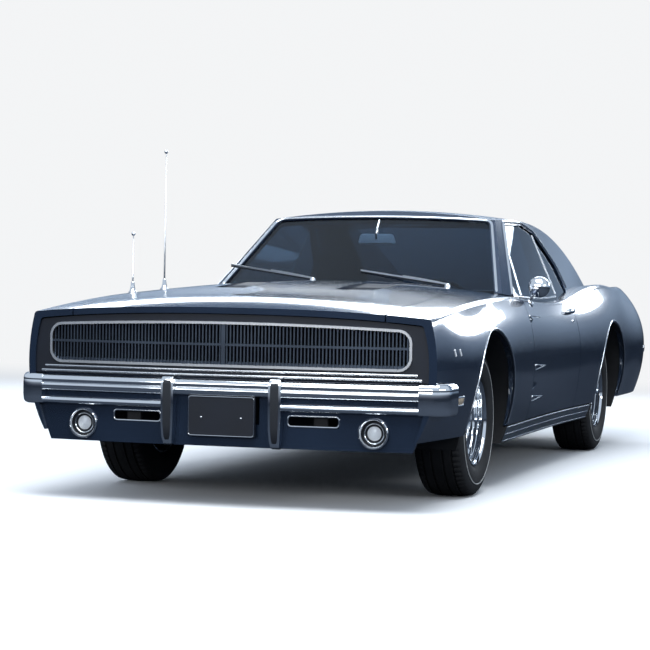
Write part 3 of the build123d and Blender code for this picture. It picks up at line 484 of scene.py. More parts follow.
def spoke_mesh(x, y, side, angle):
    """One tapered spoke with a raised middle rib, from the hub to the barrel."""
    rows = mm((50, 26, 28, 34), (80, 27, 26, 31), (120, 30, 21, 26), (150, 36, 16, 20),
              (166, 44, 13, 14))
    verts = []
    for radius, half, face, rib in rows:
        section = [(-half, face - 0.03), (-half, face - 0.006), (-half * 0.82, face),
                   (-half * 0.34, face), (-half * 0.22, rib), (half * 0.22, rib),
                   (half * 0.34, face), (half * 0.82, face), (half, face - 0.006),
                   (half, face - 0.03)]
        for across, along in section:
            yy = radius * sin(angle) + across * cos(angle)
            zz = radius * cos(angle) - across * sin(angle)
            verts.append(Vector((x + side * along, y + yy, axle_z + zz)))
    return verts, tube_faces(len(rows), 10)


def wheel(name, x, y, side, body):
    """A deep bright rim with stepped rings, five dark spokes, lug nuts and a centre cap."""
    centre = (x, y, axle_z)
    axis = (side, 0, 0)
    rim = lathe(name + "_rim", rim_section, centre, axis, chrome, 120, body, slot="chrome")
    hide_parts(name)
    spokes = joined([spoke_mesh(x, y, side, radians(18 + 72 * i)) for i in range(5)])
    piece(name + "_spokes", *spokes, silver_wheel, body, angle=30, slot="steel")
    disc = mm((-30, 20), (-30, 150), (-16, 165.5), (10, 165.5), (12, 162), (-2, 148), (-6, 100),
              (20, 66), (26, 58), (26, 20))
    lathe(name + "_centre", disc, centre, axis, grille_black, 96, body)
    ring = mm((12, 160), (20, 160), (24, 162), (22, 166), (12, 168))
    lathe(name + "_ring", ring, centre, axis, bright_trim, 96, body)
    cap = mm((26, 0), (26, 36), (44, 34), (52, 30), (55, 24), (51, 22), (50, 14), (52, 0))
    lathe(name + "_cap", cap, centre, axis, chrome, 64, body)
    nut = mm((20, 0), (20, 12), (26, 12), (28, 9.5), (44, 9.5), (46, 7), (46, 0))
    bolt_circle, valve_circle, first = 0.057, 0.15, 54
    nuts = []
    for i in range(5):
        a = radians(first + 72 * i)
        place = (x, y + bolt_circle * sin(a), axle_z + bolt_circle * cos(a))
        nuts.append(ring_mesh(nut, place, axis, 6))
    piece(name + "_nuts", *joined(nuts), chrome, body, angle=20)
    a = radians(first)
    place = (x, y + valve_circle * sin(a), axle_z + valve_circle * cos(a))
    lathe(name + "_valve", mm((0, 0), (0, 4), (30, 3), (34, 3), (34, 0)), place, axis, seal_rubber,
          12, body)


for end, y in axles:
    for side, hand in hands:
        body = "wheel_" + end[0] + hand[0]
        tyre(f"tyre_{end}_{hand}", side * half_track, y, side, body)
        wheel(f"wheel_{end}_{hand}", side * half_track, y, side, body)

# Nose, bumpers and lamps


def end_path(sign, bow, centre_y, half, corner, run):
    """Plan points and outward directions along a bumper, from its right end to its left end.

    Its bowed face reaches half to each side, then turns a corner and runs back along the car.
    sign is 1 at the nose and -1 at the tail."""
    sagitta = half ** 2 / (2 * bow)
    plan = []
    for i in range(25):
        x = half * i / 24
        plan.append((Vector((x, centre_y + sign * x * x / (2 * bow), 0)),
                     Vector((x / bow, -sign, 0)).normalized()))
    centre = Vector((half, centre_y + sign * (sagitta + corner), 0))
    for i in range(1, 11):
        a = radians(9 * i)
        out = Vector((sin(a), -sign * cos(a), 0))
        plan.append((centre + out * corner, out))
    for i in range(1, 5):
        plan.append((centre + Vector((corner + 0.001 * i, sign * run * i / 4, 0)),
                     Vector((1, 0, 0))))
    other = [(Vector((-p.x, p.y, 0)), Vector((-n.x, n.y, 0))) for p, n in reversed(plan[1:])]
    return other + plan


def carried(plan, profile):
    """A (distance behind the face, height) profile carried along plan points."""
    verts = [Vector((point.x - out.x * back, point.y - out.y * back, height)) for point, out in plan
             for back, height in profile]
    return verts, tube_faces(len(plan), len(profile))


blade = mm((26, 470), (10, 470.5), (2, 472), (-4, 476), (-8, 483), (-10, 491), (-9.5, 498),
           (-6, 503), (-4, 504.5), (-6, 506), (-9.5, 510), (-10, 518), (-9, 526), (-5, 533),
           (2, 537.5), (10, 540), (26, 541))
lower_blade = mm((26, 414), (8, 414.3), (0, 417), (-5, 422), (-8, 430), (-5, 438), (0, 443),
                 (8, 445.7), (26, 446))
end_cap = mm((26, 410), (8, 410.5), (-2, 415), (-8, 424), (-11, 450), (-11, 500), (-8, 530),
             (-2, 539), (8, 543.5), (26, 545))
front_plan = end_path(1, nose_bow, nose_front, half=0.88, corner=0.076, run=0.08)
bars = [carried(front_plan, blade)]
for sign in (-1, 1):
    for start, section in ((0.222, lower_blade), (0.842, end_cap)):
        bars.append(carried([(p, n) for p, n in front_plan if sign * p.x > start], section))
front_bumper = piece("front_bumper_bars", *joined(bars), chrome, angle=40, slot="chrome")
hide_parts("front_bumper")

guard_x = 0.24


def upright(rows, back):
    """An upright bar on the bumper: (y, z, half width) rows of its face, and the y of its back."""
    verts = []
    for y, z, half in rows:
        corners = ((-half, y), (half, y), (half, back), (-half, back))
        verts += [Vector((guard_x + across, depth, z)) for across, depth in corners]
    return verts, tube_faces(len(rows), 4)


guard_rows = mm((-2599, 548, 20), (-2626, 547, 23.5), (-2634, 538, 26), (-2637, 520, 28),
                (-2637, 420, 28), (-2636.5, 340, 26.5), (-2632, 290, 23), (-2622, 264, 19),
                (-2607.5, 256, 16))
pad_rows = mm((-2629, 540, 13), (-2638, 528, 16.5), (-2640.5, 516, 18), (-2640.5, 420, 18),
              (-2640, 340, 16.5), (-2635.5, 294, 13), (-2626, 276, 9))
for guard in twin("bumper_guard", *upright(guard_rows, -2.5895), chrome, slot="chrome"):
    soften(guard, 0.005)
for pad in twin("guard_pad", *upright(pad_rows, -2.62), seal_rubber):
    soften(pad, 0.0015, 2)

plate_y = -2.6205
# The plate panel takes the darker copy of the navy: painted shade under the bumper.
plate_panel = piece("plate_panel", *plain_box((-0.15, plate_y, 0.3), (0.15, -2.6035, 0.48)),
                    recess_shade_paint)
soften(plate_panel, 0.004)
edge = rounded(mm((-146, -2621.5, 304), (146, -2621.5, 304), (146, -2621.5, 468),
                  (-146, -2621.5, 468)), 0.012, closed=True)
sweep("plate_panel_edge", edge, round_profile(0.0022, 8), to_front, bright_trim, closed=True)
for sign, hand in hands:
    lathe("plate_screw_" + hand, mm((0, 5.2), (2, 5), (3, 3.5), (3, 0)),
          (sign * 0.089, plate_y, 0.38), to_front, bright_trim, 16)


def nose_y(x, setback=0.0):
    """y of a surface bowed like the nose, at x."""
    return nose_front + nose_bow - sqrt((nose_bow - setback) ** 2 - x * x)


def tail_y(x, setback=0.0):
    """y of a surface bowed like the tail, at x."""
    return tail_rear - tail_bow + sqrt((tail_bow - setback) ** 2 - x * x)


def end_strip(name, end_y, height, half, width, rise, out):
    """A bright strip across the nose or the tail."""
    path = [(half * (i / 30 - 1), end_y(half * (i / 30 - 1), 0.008), height) for i in range(61)]
    sweep(name, path, half_round(width, rise), out, bright_trim)


end_strip("nose_strip_upper", nose_y, 0.578, half=0.835, width=0.01, rise=0.005, out=to_front)
end_strip("nose_strip_lower", nose_y, 0.558, half=0.852, width=0.01, rise=0.005, out=to_front)

slot_edge = rounded(mm((285, 0, 353), (505, 0, 353), (505, 0, 397), (285, 0, 397)), 0.016,
                    closed=True)
for sign, hand in hands:
    path = [(sign * p.x, nose_y(p.x, 0.027), p.z) for p in slot_edge]
    sweep("valance_slot_edge_" + hand, path, round_profile(0.004, 8), to_front, bright_trim,
          closed=True)

lamp_x, lamp_z = 0.652, 0.334
lamp_y = nose_front + lamp_x ** 2 / 2 / nose_bow + 0.027
lens_radius, lens_dome, lens_ripple = 0.03, 0.014, 0.0007
bezel = mm((-40, 65), (6, 65.5), (12, 65.2), (15, 62), (14.8, 59), (11, 56), (-12, 52), (-16, 52),
           (-16, 60), (-40, 60))
well = mm((-15.5, 52.5), (-15.5, 30), (-18, 30), (-18, 52.5))
inner = mm((-18, 44), (-6, 43.5), (-4, 41.5), (-6, 39.5), (-18, 39.5))
lens = []
for i in range(25):
    r = lens_radius * (1 - i / 24)
    dome = lens_dome * (1 - (r / lens_radius) ** 2)
    lens.append((-0.01 + dome + lens_ripple * cos(pi * i), r))
back = [(-0.03 + 0.5 * r, r) for r in (0.028, 0.022, 0.015, 0.007, 0.0)]
for sign, hand in hands:
    place = (sign * lamp_x, lamp_y, lamp_z)
    ring = lathe(f"front_lamp_bezel_{hand}", bezel, place, to_front, chrome, 96, slot="chrome")
    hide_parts("front_lamps")
    lathe(f"front_lamp_well_{hand}", well, place, to_front, grille_black, 64)
    lathe(f"front_lamp_ring_{hand}", inner, place, to_front, bright_trim, 64)
    # The lens is near-white and mostly opaque: painted brightness in place of clear glass.
    lathe(f"front_lamp_lens_{hand}", lens, place, to_front, bright_painted_lens, 64, angle=60)
    lathe(f"front_lamp_reflector_{hand}", back, place, to_front, reflector, 64)

# Glasshouse trim


foot_y, foot_z = -0.918, 0.86
rake_y, rake_z = 0.833, 0.5533


def screen_point(x, run):
    """A point on the windscreen's rake plane, at a run up the rake."""
    return Vector((x, foot_y + run * rake_y, foot_z + run * rake_z))


screen_edge = [screen_point(*corner) for corner in mm((-761.5, 70), (-583, 811), (583, 811),
                                                      (761.5, 70))]
path, normals = on_skin(fine(rounded(screen_edge, 0.045)), (0.0, 0.54, -0.813))
kept, shortest = [0], 0.004
for i in range(1, len(path)):
    if (path[i] - path[kept[-1]]).length > shortest:
        kept.append(i)
sweep("windshield_trim", [path[i] for i in kept], half_round(0.015, 0.005),
      [normals[i] for i in kept], bright_trim)

side_line = mm((-640, 908), (-132, 1284.5), (-100, 1286.5), (250, 1294.5), (487, 1253), (788, 1074),
               (872, 950))
path, normals = on_skin(fine(rounded([(0.9, y, z) for y, z in side_line], 0.035)), to_side,
                        tree_of("roof", "quarter_panel_left"), 0.9)
for sign, hand in hands:
    sweep("drip_rail_" + hand, path, half_round(0.014, 0.009), normals, bright_trim)
    path, normals = mirror_points(path), mirror_points(normals)

# Sides: arches and sills

moulding_radius, skin_radius, lip_radius = 0.4012, 0.4035, 0.3935
arc = [(cos(radians(a)), sin(radians(a))) for a in range(-7, 188, 3)]
for end, y in axles:
    line = [(y + moulding_radius * c, arch_z + moulding_radius * s) for c, s in arc]
    side_trim("arch_moulding_" + end, line, 0.011, 0.0032, bright_trim)
    lip = [(flank(y + skin_radius * c, arch_z + skin_radius * s)[0].x - 0.005,
            y + lip_radius * c, arch_z + lip_radius * s) for c, s in arc]
    twin_sweep("arch_lip_" + end, lip, round_profile(0.0035, 8), (1, 0, 0), satin_black)

sill_rows = [0.2165, 0.224, 0.232, 0.24, 0.25, 0.26, 0.27, 0.28, 0.288, 0.2925]
sill_y = [-1.225 + 0.0425 * i for i in range(51)]
sill_x, stand = 0.84, 0.0012
verts = []
for z in sill_rows:
    for y in sill_y:
        found = flank(y, z, sill_tree)
        x = found[0].x if found and found[0].x > 0.8 else sill_x
        verts.append(Vector((x + stand, y, z)))
sill_faces = ring_faces(len(sill_rows), len(sill_y), closed=False)
for cover in twin("sill_cover", verts, sill_faces, sill_metal, slot="body_paint"):
    plate = cover.modifiers.new("thickness", "SOLIDIFY")
    plate.thickness = 0.001
for label, z in (("low", 0.2225), ("middle", 0.255), ("high", 0.2885)):
    line = [(-1.215 + 0.05 * i, z) for i in range(43)]
    side_trim("sill_bead_" + label, line, 0.007, 0.0035, bright_trim, tree=sill_tree)

# Doors: handles, locks, vent bars, glass-edge strips, and bright loops that are painted highlights
# on the flute edges
grip = mm((288, 818, 2), (292, 818, 12), (305, 818.5, 21), (340, 819, 25), (385, 819, 25),
          (420, 818.5, 21), (434, 818, 12), (438, 818, 2))
path, normals = [], []
for y, z, stand in grip:
    place, out = flank(y, z)
    path.append(place + out * stand)
    normals.append(out)
flat_bar = mm((10, -3), (10, 2), (6, 4), (-6, 4), (-10, 2), (-10, -3))
twin_sweep("door_handle", path, flat_bar, normals, chrome, doors, slot="chrome")
foot = mm((-2, 0), (-2, 14), (3, 13.5), (5, 10), (6, 0))
for label, y in (("front", 0.292), ("rear", 0.434)):
    twin("door_handle_foot_" + label, *ring_mesh(foot, *flank(y, 0.818), 32), chrome, doors)
lock = mm((-2, 0), (-2, 12.5), (3, 12), (4.5, 9.5), (4, 8), (3.6, 0))
twin("door_lock", *ring_mesh(lock, *flank(0.395, 0.768), 40), chrome, doors)

glass_lines = (
    ("vent_bar", 0.014, 0.006, mm((-430, 905), (-383, 975), (-335, 1045), (-292, 1108))),
    ("glass_strip_front_edge", 0.01, 0.005,
     mm((-606, 903), (-475, 999), (-345, 1095), (-150, 1238))),
    ("glass_strip_belt", 0.01, 0.005,
     mm((-600, 901), (-400, 897), (-200, 893), (0, 892), (200, 894), (440, 902))),
    ("glass_strip_rear_edge", 0.01, 0.005,
     mm((458, 915), (459, 1050), (459, 1160), (458, 1232))),
)
for name, width, rise, line in glass_lines:
    path, normals = on_skin([(beside_glass, y, z) for y, z in line], to_side, glass_tree, 0.5)
    twin_sweep(name, path, half_round(width, rise), normals, bright_trim, doors)

# The flutes are only raised bright loops round their outlines: painted highlights on the edges of
# the door's scoops.
for label, z, tall in (("upper", 0.8, 0.011), ("middle", 0.556, 0.013), ("lower", 0.402, 0.013)):
    loop = rounded([(beside, -0.738, z - tall), (beside, -0.738, z + tall), (beside, -0.44, z)],
                   0.006, closed=True)
    side_trim("door_flute_highlight_" + label, [(p.y, p.z) for p in fine(loop)], 0.006, 0.003, bright_trim,
              doors, closed=True)

# Door mirror: bright round head on a stalk
head = (0.908, -0.56, 0.95)
shell_section = mm((-39.5, 0), (-38.5, 18), (-33, 34), (-22, 45.5), (-5, 52), (20, 53), (36, 52),
                   (39.5, 50), (39, 47.5), (34, 46.5))
mirror_head = lathe("door_mirror_shell", shell_section, head, to_rear, chrome, 72, "door_left",
                    slot="chrome")
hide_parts("door_mirror")
lathe("door_mirror_glass", mm((34.5, 47), (34.5, 0)), head, to_rear, mirror_glass, 72,
      "door_left")
stalk = mm((868, -560, 886), (874, -560, 902), (886, -560, 916), (900, -560, 926))
sweep("door_mirror_stalk", stalk, round_profile(0.0075, 12, 1.5), to_rear, chrome, "door_left")
foot = mm((-3, 0), (-3, 21), (3, 20), (7, 13), (10, 8), (10, 0))
lathe("door_mirror_foot", foot, *cast((0.868, -0.56, 0.95), downward, side_tree, near), chrome,
      40, "door_left")

# Small bright marks on the fenders and the lamps set in the sides
for label, y in (("front", -2.318), ("rear", -2.25)):
    slant = [(y + (z - 0.668) * -0.5, z) for z in (0.655, 0.668, 0.681)]
    side_trim("fender_mark_" + label, slant, 0.012, 0.004, white_enamel)


def side_lamp(label, y0, y1, z0, z1, lens_mat):
    """A lens with a bright rim, set on the skin."""
    rim = rounded([(beside, y0, z0), (beside, y1, z0), (beside, y1, z1), (beside, y0, z1)], 0.01,
                  closed=True)
    path, normals = on_skin(fine(rim), to_side, side_tree, near)
    for left in twin_sweep(f"side_marker_{label}_rim", path, round_profile(0.0042, 8), normals,
                           bright_trim, closed=True):
        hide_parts("side_markers")
    verts = []
    for i in range(9):
        for k in range(5):
            swell = 0.0045 * (1 - abs(i / 4 - 1) ** 4) * (1 - abs(k / 2 - 1) ** 4)
            place, out = flank(y0 + (y1 - y0) * i / 8, z0 + (z1 - z0) * k / 4)
            verts.append(place + out * (0.0004 + swell))
    twin(f"side_marker_{label}_lens", verts, ring_faces(9, 5, closed=False), lens_mat,
         slot="lens_amber")


side_lamp("front", -2.262, -2.172, 0.442, 0.478, marker_lens)
side_lamp("rear", 2.322, 2.402, 0.558, 0.592, red_lens)

# Aerials: tapered masts in bright bases
base = mm((-4, 0), (-4, 20.5), (4, 20), (10, 15), (30, 10), (48, 8.5), (52, 6.5), (52, 0))
fender_tree = tree_of("front_fender_right")
fender_top = 0.88
for label, x, y, height in (("short", -0.8, -1.7, 0.29), ("long", -0.79, -1.33, 0.7)):
    foot = top_point(x, y, fender_tree)[0]
    top = fender_top + height
    tall = top - foot.z
    ring = lathe(f"aerial_base_{label}", base, (x, y, foot.z), upward, chrome, 40)
    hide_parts("aerials")
    mast = [(0.05, 0.0), (0.05, 0.0042), (0.4 * tall, 0.004), (0.41 * tall, 0.0032),
            (0.7 * tall, 0.003), (0.71 * tall, 0.0022), (tall, 0.002), (tall, 0.0)]
    lathe(f"aerial_mast_{label}", mast, (x, y, foot.z), upward, bright_trim, 16)
    lathe(f"aerial_tip_{label}", ball_profile(0.0097), (x, y, top), upward, bright_trim, 24)

# Louvres in the cowl, in two banks: flat near-black strips are painted shade standing for the
# openings, each with a paint lip beside it
louvre_shade_strips, lips = [], []
louvre = mm((4.5, -1), (4.5, 0.4), (-4.5, 0.4), (-4.5, -1))
for sign in (-1, 1):
    for i in range(15):
        x = sign * (0.105 + 0.0225 * i)
        rows = (-0.905, -0.885, -0.865, -0.845, -0.825)
        line = [top_point(x, y) for y in rows]
        louvre_shade_strips.append(sweep_mesh([place + out * 0.0003 for place, out in line], louvre, upward))
        line = [top_point(x + 0.0062, y)[0] for y in rows]
        lips.append(sweep_mesh(line, half_round(0.0045, 0.0022), upward))
# The near-black strips lie flat on the cowl: painted shade, not openings.
piece("cowl_louvre_shade", *joined(louvre_shade_strips), grille_black)
piece("cowl_louvre_lips", *joined(lips), paint, slot="body_paint")

# Wipers: pivot caps, arms and rubber blades
cap = mm((-4, 0), (-4, 16), (10, 15.5), (18, 12), (22, 6), (23, 0))
for hand, pivot_x in (("right", -0.2), ("left", 0.5)):
    base, out = top_point(pivot_x, -0.8)
    ring = lathe(f"wiper_cap_{hand}", cap, base, out, bright_trim, 32)
    if hand == "left":
        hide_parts("wipers")
    arm = [base + Vector(step) for step in ((0, 0, 0.018), (-0.06, 0.015, 0.029),
                                            (-0.15, 0.045, 0.043), (-0.25, 0.078, 0.056))]
    sweep(f"wiper_arm_{hand}", arm, mm((6, -2.5), (6, 2.5), (-6, 2.5), (-6, -2.5)), upward,
          brushed_trim)
    line = [arm[-1] + Vector((0.235 - 0.047 * i, 0.009 * (i - 5), -0.006 + 0.0062 * (i - 5)))
            for i in range(11)]
    sweep(f"wiper_blade_{hand}", line, mm((3, -4), (4, 4), (-4, 4), (-3, -4)), upward, brushed_trim)
    sweep(f"wiper_rubber_{hand}", [p + Vector((0, 0.002, -0.006)) for p in line],
          mm((1.8, -6), (3, 2), (-3, 2), (-1.8, -6)), upward, seal_rubber)

# Tail: bright frames round the lamps, ribbed lenses, bumper and strips
rear_plan = end_path(-1, tail_bow, 2.6315, half=0.85, corner=0.076, run=0.196)
rear_bar = piece("rear_bumper_bar", *carried(rear_plan, blade), chrome, angle=40, slot="chrome")
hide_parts("rear_bumper")
for x0, x1, label in ((0.15, 0.45, "inner"), (0.47, 0.77, "outer")):
    rim = rounded([(x0 + 0.003, 0, 0.653), (x1 - 0.003, 0, 0.653), (x1 - 0.003, 0, 0.747),
                   (x0 + 0.003, 0, 0.747)], 0.014, closed=True)
    path = [(p.x, tail_y(p.x, 0.004), p.z) for p in fine(rim + [rim[0]])[:-1]]
    twin_sweep(f"tail_lamp_rim_{label}", path, round_profile(0.005, 8), to_rear, bright_trim,
               closed=True)
    bands = []
    for k in range(1, 7):
        line = [(x, tail_y(x, 0.0022), 0.65 + k * 0.1 / 7)
                for x in [x0 + 0.012 + (x1 - x0 - 0.024) * i / 12 for i in range(13)]]
        bands.append(sweep_mesh(line, half_round(0.0075, 0.003), to_rear))
    twin(f"tail_lamp_ribs_{label}", *joined(bands), red_lens, slot="lens_red")
lathe("trunk_lock", mm((-4, 0), (-4, 17), (3, 16.5), (6, 13), (5, 8), (4.5, 0)),
      (0, tail_y(0, 0.008), 0.8), to_rear, chrome, 40)
end_strip("tail_strip_632", tail_y, 0.632, half=0.8, width=0.009, rise=0.004, out=to_rear)
end_strip("tail_strip_768", tail_y, 0.768, half=0.8, width=0.009, rise=0.004, out=to_rear)

# Inside: pleated seats, dashboard, steering wheel, door cards and small fittings


def cushion(name, x0, x1, foot, head, out, thick, pleats, crown):
    """A crowned closed pad with sewn pleats and pulled-in sides.

    foot and head are the (y, z) ends of its face in a side view, and out is where it looks."""
    foot = Vector((0, *foot))
    out = Vector((0, *out)).normalized()
    along = Vector((0, *head)) - foot
    length = along.length
    along.normalize()
    columns, rows = 110, 44
    half = (x1 - x0) / 2
    middle = (x0 + x1) / 2
    border, hem = 0.07, 0.055
    pleat_rise, pleat_sink = 0.0065, 0.0045
    seam_depth, seam_width = 0.0055, 0.008
    pitch = (2 * half - 2 * border) / pleats
    verts = []
    for k in range(rows + 1):
        v = 2 * k / rows - 1
        for i in range(columns + 1):
            u = 2 * i / columns - 1
            side = (1 - min(1.0, abs(u)) ** 9) ** 0.5
            ends = (1 - min(1.0, abs(v)) ** 7) ** 0.5
            x = u * half * (1 - 0.022 * (1 - v * v) * abs(u) ** 3)
            run = (v * (1 - 0.035 * (1 - u * u) * abs(v) ** 3) + 1) / 2 * length
            rise = (thick - crown) * (0.35 + 0.65 * side * ends)
            rise += crown * (1 - u ** 4) * (1 - v ** 4)
            low_edge = (v + 1) / 2 * length - hem
            high_edge = length - hem - (v + 1) / 2 * length
            near_edge = min(low_edge, high_edge, half - border - abs(x))
            if near_edge > 0:
                phase = ((x + half - border) / pitch) % 1.0
                rise += pleat_rise * abs(sin(pi * phase)) ** 0.6 - pleat_sink
            rise -= seam_depth * max(0.0, 1 - abs(near_edge) / seam_width)
            verts.append(foot + Vector((middle + x, 0, 0)) + along * run + out * (rise - thick))
    wide = columns + 1
    faces = ring_faces(rows + 1, wide, closed=False)
    rim = list(range(wide)) + [k * wide + columns for k in range(1, rows + 1)]
    rim += [rows * wide + i for i in range(columns - 1, -1, -1)]
    rim += [k * wide for k in range(rows - 1, 0, -1)]
    centre = foot + Vector((middle, 0, 0)) + along * (length / 2)
    count = len(rim)
    outer_ring = rim
    for drop, pull in ((0.45, 0.0), (0.85, 0.01), (1.0, 0.016)):
        ring = [len(verts) + i for i in range(count)]
        for index in rim:
            p = verts[index]
            rise = (p - foot).dot(out)
            inward = centre - p
            inward -= out * inward.dot(out)
            verts.append(p + out * (min(rise, -thick * drop) - rise) + inward.normalized() * pull)
        faces += [(outer_ring[i], outer_ring[(i + 1) % count], ring[(i + 1) % count], ring[i])
                  for i in range(count)]
        outer_ring = ring
    obj = piece(name, verts, faces + [tuple(outer_ring)], vinyl, angle=60, slot="vinyl")
    return obj


def wall(name, outline, x0, x1, width=0.01):
    """A side-view outline carried from x0 to x1, with rounded edges, and its mirrored twin."""
    verts = [Vector((x, y, z)) for x in (x0, x1) for y, z in outline]
    for obj in twin(name, verts, tube_faces(2, len(outline)), hard_vinyl, slot="vinyl"):
        soften(obj, width, 4)


for side, hand in hands:
    x0, x1 = sorted((side * 0.135, side * 0.612))
    base = cushion(f"front_seat_pad_{hand}", x0, x1, (0.222, 0.45), (-0.196, 0.472), (0.052, 0.998),
                   thick=0.112, pleats=9, crown=0.016)
    cushion(f"front_seat_back_{hand}", x0, x1, (0.205, 0.49), (0.336, 0.888), (-0.95, 0.312),
            thick=0.085, pleats=9, crown=0.014)
    if side > 0:
        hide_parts("front_seats")
wall("front_seat_base", mm((-185, 235.5), (236, 235.5), (244, 345), (-190, 362)), 0.13, 0.615)
wall("front_seat_shell", mm((205, 330), (268, 310), (412, 842), (398, 884), (372, 884), (272, 470)),
     0.13, 0.615)
hinge_ring = mm((0, 0), (0, 20), (4, 18), (6, 0))
twin("front_seat_hinge", *ring_mesh(hinge_ring, (0.6152, 0.225, 0.405), (1, 0, 0), 32), bright_trim)

bench = cushion("rear_seat_pad", -0.55, 0.55, (1.195, 0.566), (0.868, 0.576), (0.03, 0.999),
                thick=0.11, pleats=22, crown=0.014)
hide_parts("rear_seat")
cushion("rear_seat_back", -0.565, 0.565, (1.197, 0.598), (1.242, 0.828), (-0.982, 0.19),
        thick=0.075, pleats=22, crown=0.012)
wall("rear_seat_base", mm((905, 452.5), (1262, 452.5), (1262, 470), (905, 470)), 0.0, 0.555, 0.004)
wall("rear_seat_shell", mm((1272, 562), (1336, 562), (1342, 832), (1290, 845), (1282, 840)), 0.0,
     0.57, 0.008)
wall("rear_seat_front", mm((803, 402), (897, 402), (897, 556), (803, 540)), 0.0, 0.555, 0.008)

# Dashboard: a bright strip, and round gauges with marks and needles
gauge_y = -0.5352
dials, marks = [], []
for x, z, radius in ((0.268, 0.775, 0.04), (0.365, 0.78, 0.05), (0.462, 0.775, 0.04),
                     (0.232, 0.722, 0.017), (0.498, 0.722, 0.017)):
    dials.append(ring_mesh([(-0.004, radius), (0.0035, radius), (0.003, radius - 0.003),
                            (-0.001, radius - 0.004)], (x, gauge_y, z), to_rear, 48))
    for k in range(11):
        a = radians(-130 + 26 * k)
        tip = [Vector((x + r * sin(a) + w * cos(a), gauge_y + 0.0006, z + r * cos(a) - w * sin(a)))
               for r in (radius * 0.72, radius * 0.86) for w in (-0.0009, 0.0009)]
        marks.append((tip, [(0, 1, 3, 2)]))
    needle_y = gauge_y + 0.001
    needle = [Vector((x - 0.0014, needle_y, z)), Vector((x + 0.0014, needle_y, z)),
              Vector((x - radius * 0.55, needle_y, z - radius * 0.45))]
    marks.append((needle, [(0, 1, 2)]))
piece("gauge_rims", *joined(dials), bright_trim)
piece("gauge_marks", *joined(marks), white_rubber)
sweep("dash_strip", [(-0.775 + 0.05 * i, -0.5455, 0.8035) for i in range(20)],
      half_round(0.008, 0.004), to_rear, bright_trim)

# Steering wheel: thin rim, three spokes and a round horn cap
column = Vector((0.365, -0.414, 0.79))
wheel_axis = Vector((0, 0.226, 0.09)).normalized()
hub = column + wheel_axis * 0.017
wheel_up = Vector((0, -0.09, 0.226)).normalized()


def around(a):
    """The way out from the steering wheel's hub at an angle."""
    return Vector((1, 0, 0)) * cos(a) + wheel_up * sin(a)


rim_out = [around(2 * pi * i / 96) for i in range(96)]
rim_circle = [hub + way * (0.19 + (0.0006 if (i // 3) % 2 else -0.0006))
              for i, way in enumerate(rim_out)]
rim = sweep("steering_rim", rim_circle, round_profile(0.0108, 12), rim_out, hard_vinyl,
            "steering_wheel", closed=True)
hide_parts("steering_wheel")
spokes = []
for angle in (8, 172, 270):
    line = [hub + around(radians(angle)) * r - wheel_axis * drop
            for r, drop in mm((30, 2), (80, 4), (140, 2), (186, 0))]
    spokes.append(sweep_mesh(line, mm((14, -1.5), (14, 1.5), (-14, 1.5), (-14, -1.5)), wheel_axis))
piece("steering_spokes", *joined(spokes), steel, "steering_wheel")
horn = mm((-12, 0), (-12, 46), (-2, 50), (6, 46), (10, 34), (10.5, 20), (9, 10), (9, 0))
lathe("steering_hub", horn, hub, wheel_axis, hard_vinyl, 56, "steering_wheel")
lathe("steering_ring", mm((5.5, 47.5), (7.5, 46.5), (9.5, 40), (7.5, 39.5)), hub, wheel_axis,
      bright_trim, 56, "steering_wheel")
lathe("steering_stub", mm((-17, 0), (-17, 9.5), (-12, 9.5), (-12, 0)), hub, wheel_axis, steel,
      24, "steering_wheel")

# Interior mirror on a stalk from the windscreen header
mirror_at = Vector((0.0, -0.34, 1.185))
outline = rounded(mm((-104, 0, -27), (104, 0, -27), (88, 0, 27), (-88, 0, 27)), 0.018, closed=True)
count = len(outline)
verts = []
for depth, scale in ((0.0, 0.94), (0.003, 1.0), (0.01, 1.0), (0.018, 0.8)):
    verts += [mirror_at + Vector((p.x * scale, -depth, p.z * scale)) for p in outline]
piece("cabin_mirror_back", verts, ring_faces(4, count) + [tuple(range(3 * count, 4 * count))],
      pale_plastic)
face = [mirror_at + Vector((p.x * 0.94, 0.0004, p.z * 0.94)) for p in outline]
piece("cabin_mirror_glass", face, [tuple(range(count))], mirror_glass)
stem = [mirror_at + Vector(step) for step in ((0, -0.016, 0.0), (0, -0.024, 0.022),
                                              (0.004, -0.014, 0.06), (0.008, 0.008, 0.1))]
sweep("cabin_mirror_stem", stem, round_profile(0.006, 10), to_front, bright_trim)

# Door cards: a pressed panel with an armrest, a pull, a crank and a bright strip
card = mm((-690, 330), (395, 330), (425, 840), (-690, 850))
card_line = rounded([(0.0, y, z) for y, z in card], 0.035, closed=True)
centre = Vector((0, -0.14, 0.59))
count = len(card_line)
verts = []
for x, scale in ((0.7995, 1.0), (0.7935, 1.0), (0.7915, 0.985), (0.7925, 0.955)):
    verts += [Vector((x, centre.y + (p.y - centre.y) * scale, centre.z + (p.z - centre.z) * scale))
              for p in card_line]
twin("door_card", verts, ring_faces(4, count) + [tuple(range(3 * count, 4 * count))], vinyl, doors,
     slot="vinyl")
pull = mm((792, -210, 600), (772, -190, 604), (766, -100, 606), (766, 60, 606), (772, 150, 604),
          (792, 170, 600))
twin_sweep("door_armrest", fine(pull), mm((24, -12), (24, 10), (16, 16), (-16, 16), (-24, 10),
                                          (-24, -12)), to_side, vinyl, doors)
crank = mm((791, -330, 560), (778, -330, 560), (772, -310, 575), (770, -250, 610))
twin_sweep("window_crank", crank, round_profile(0.006, 10), upward, bright_trim, doors)
knob = ring_mesh(mm((0, 0), (0, 11), (12, 10), (18, 6), (19, 0)), crank[-1], to_side, 24)
twin("window_crank_knob", *knob, hard_vinyl, doors)
strip = [(0.7925, -0.66 + 0.05 * i, 0.73) for i in range(21)]
twin_sweep("door_card_strip", strip, half_round(0.01, 0.003), to_side, bright_trim, doors)

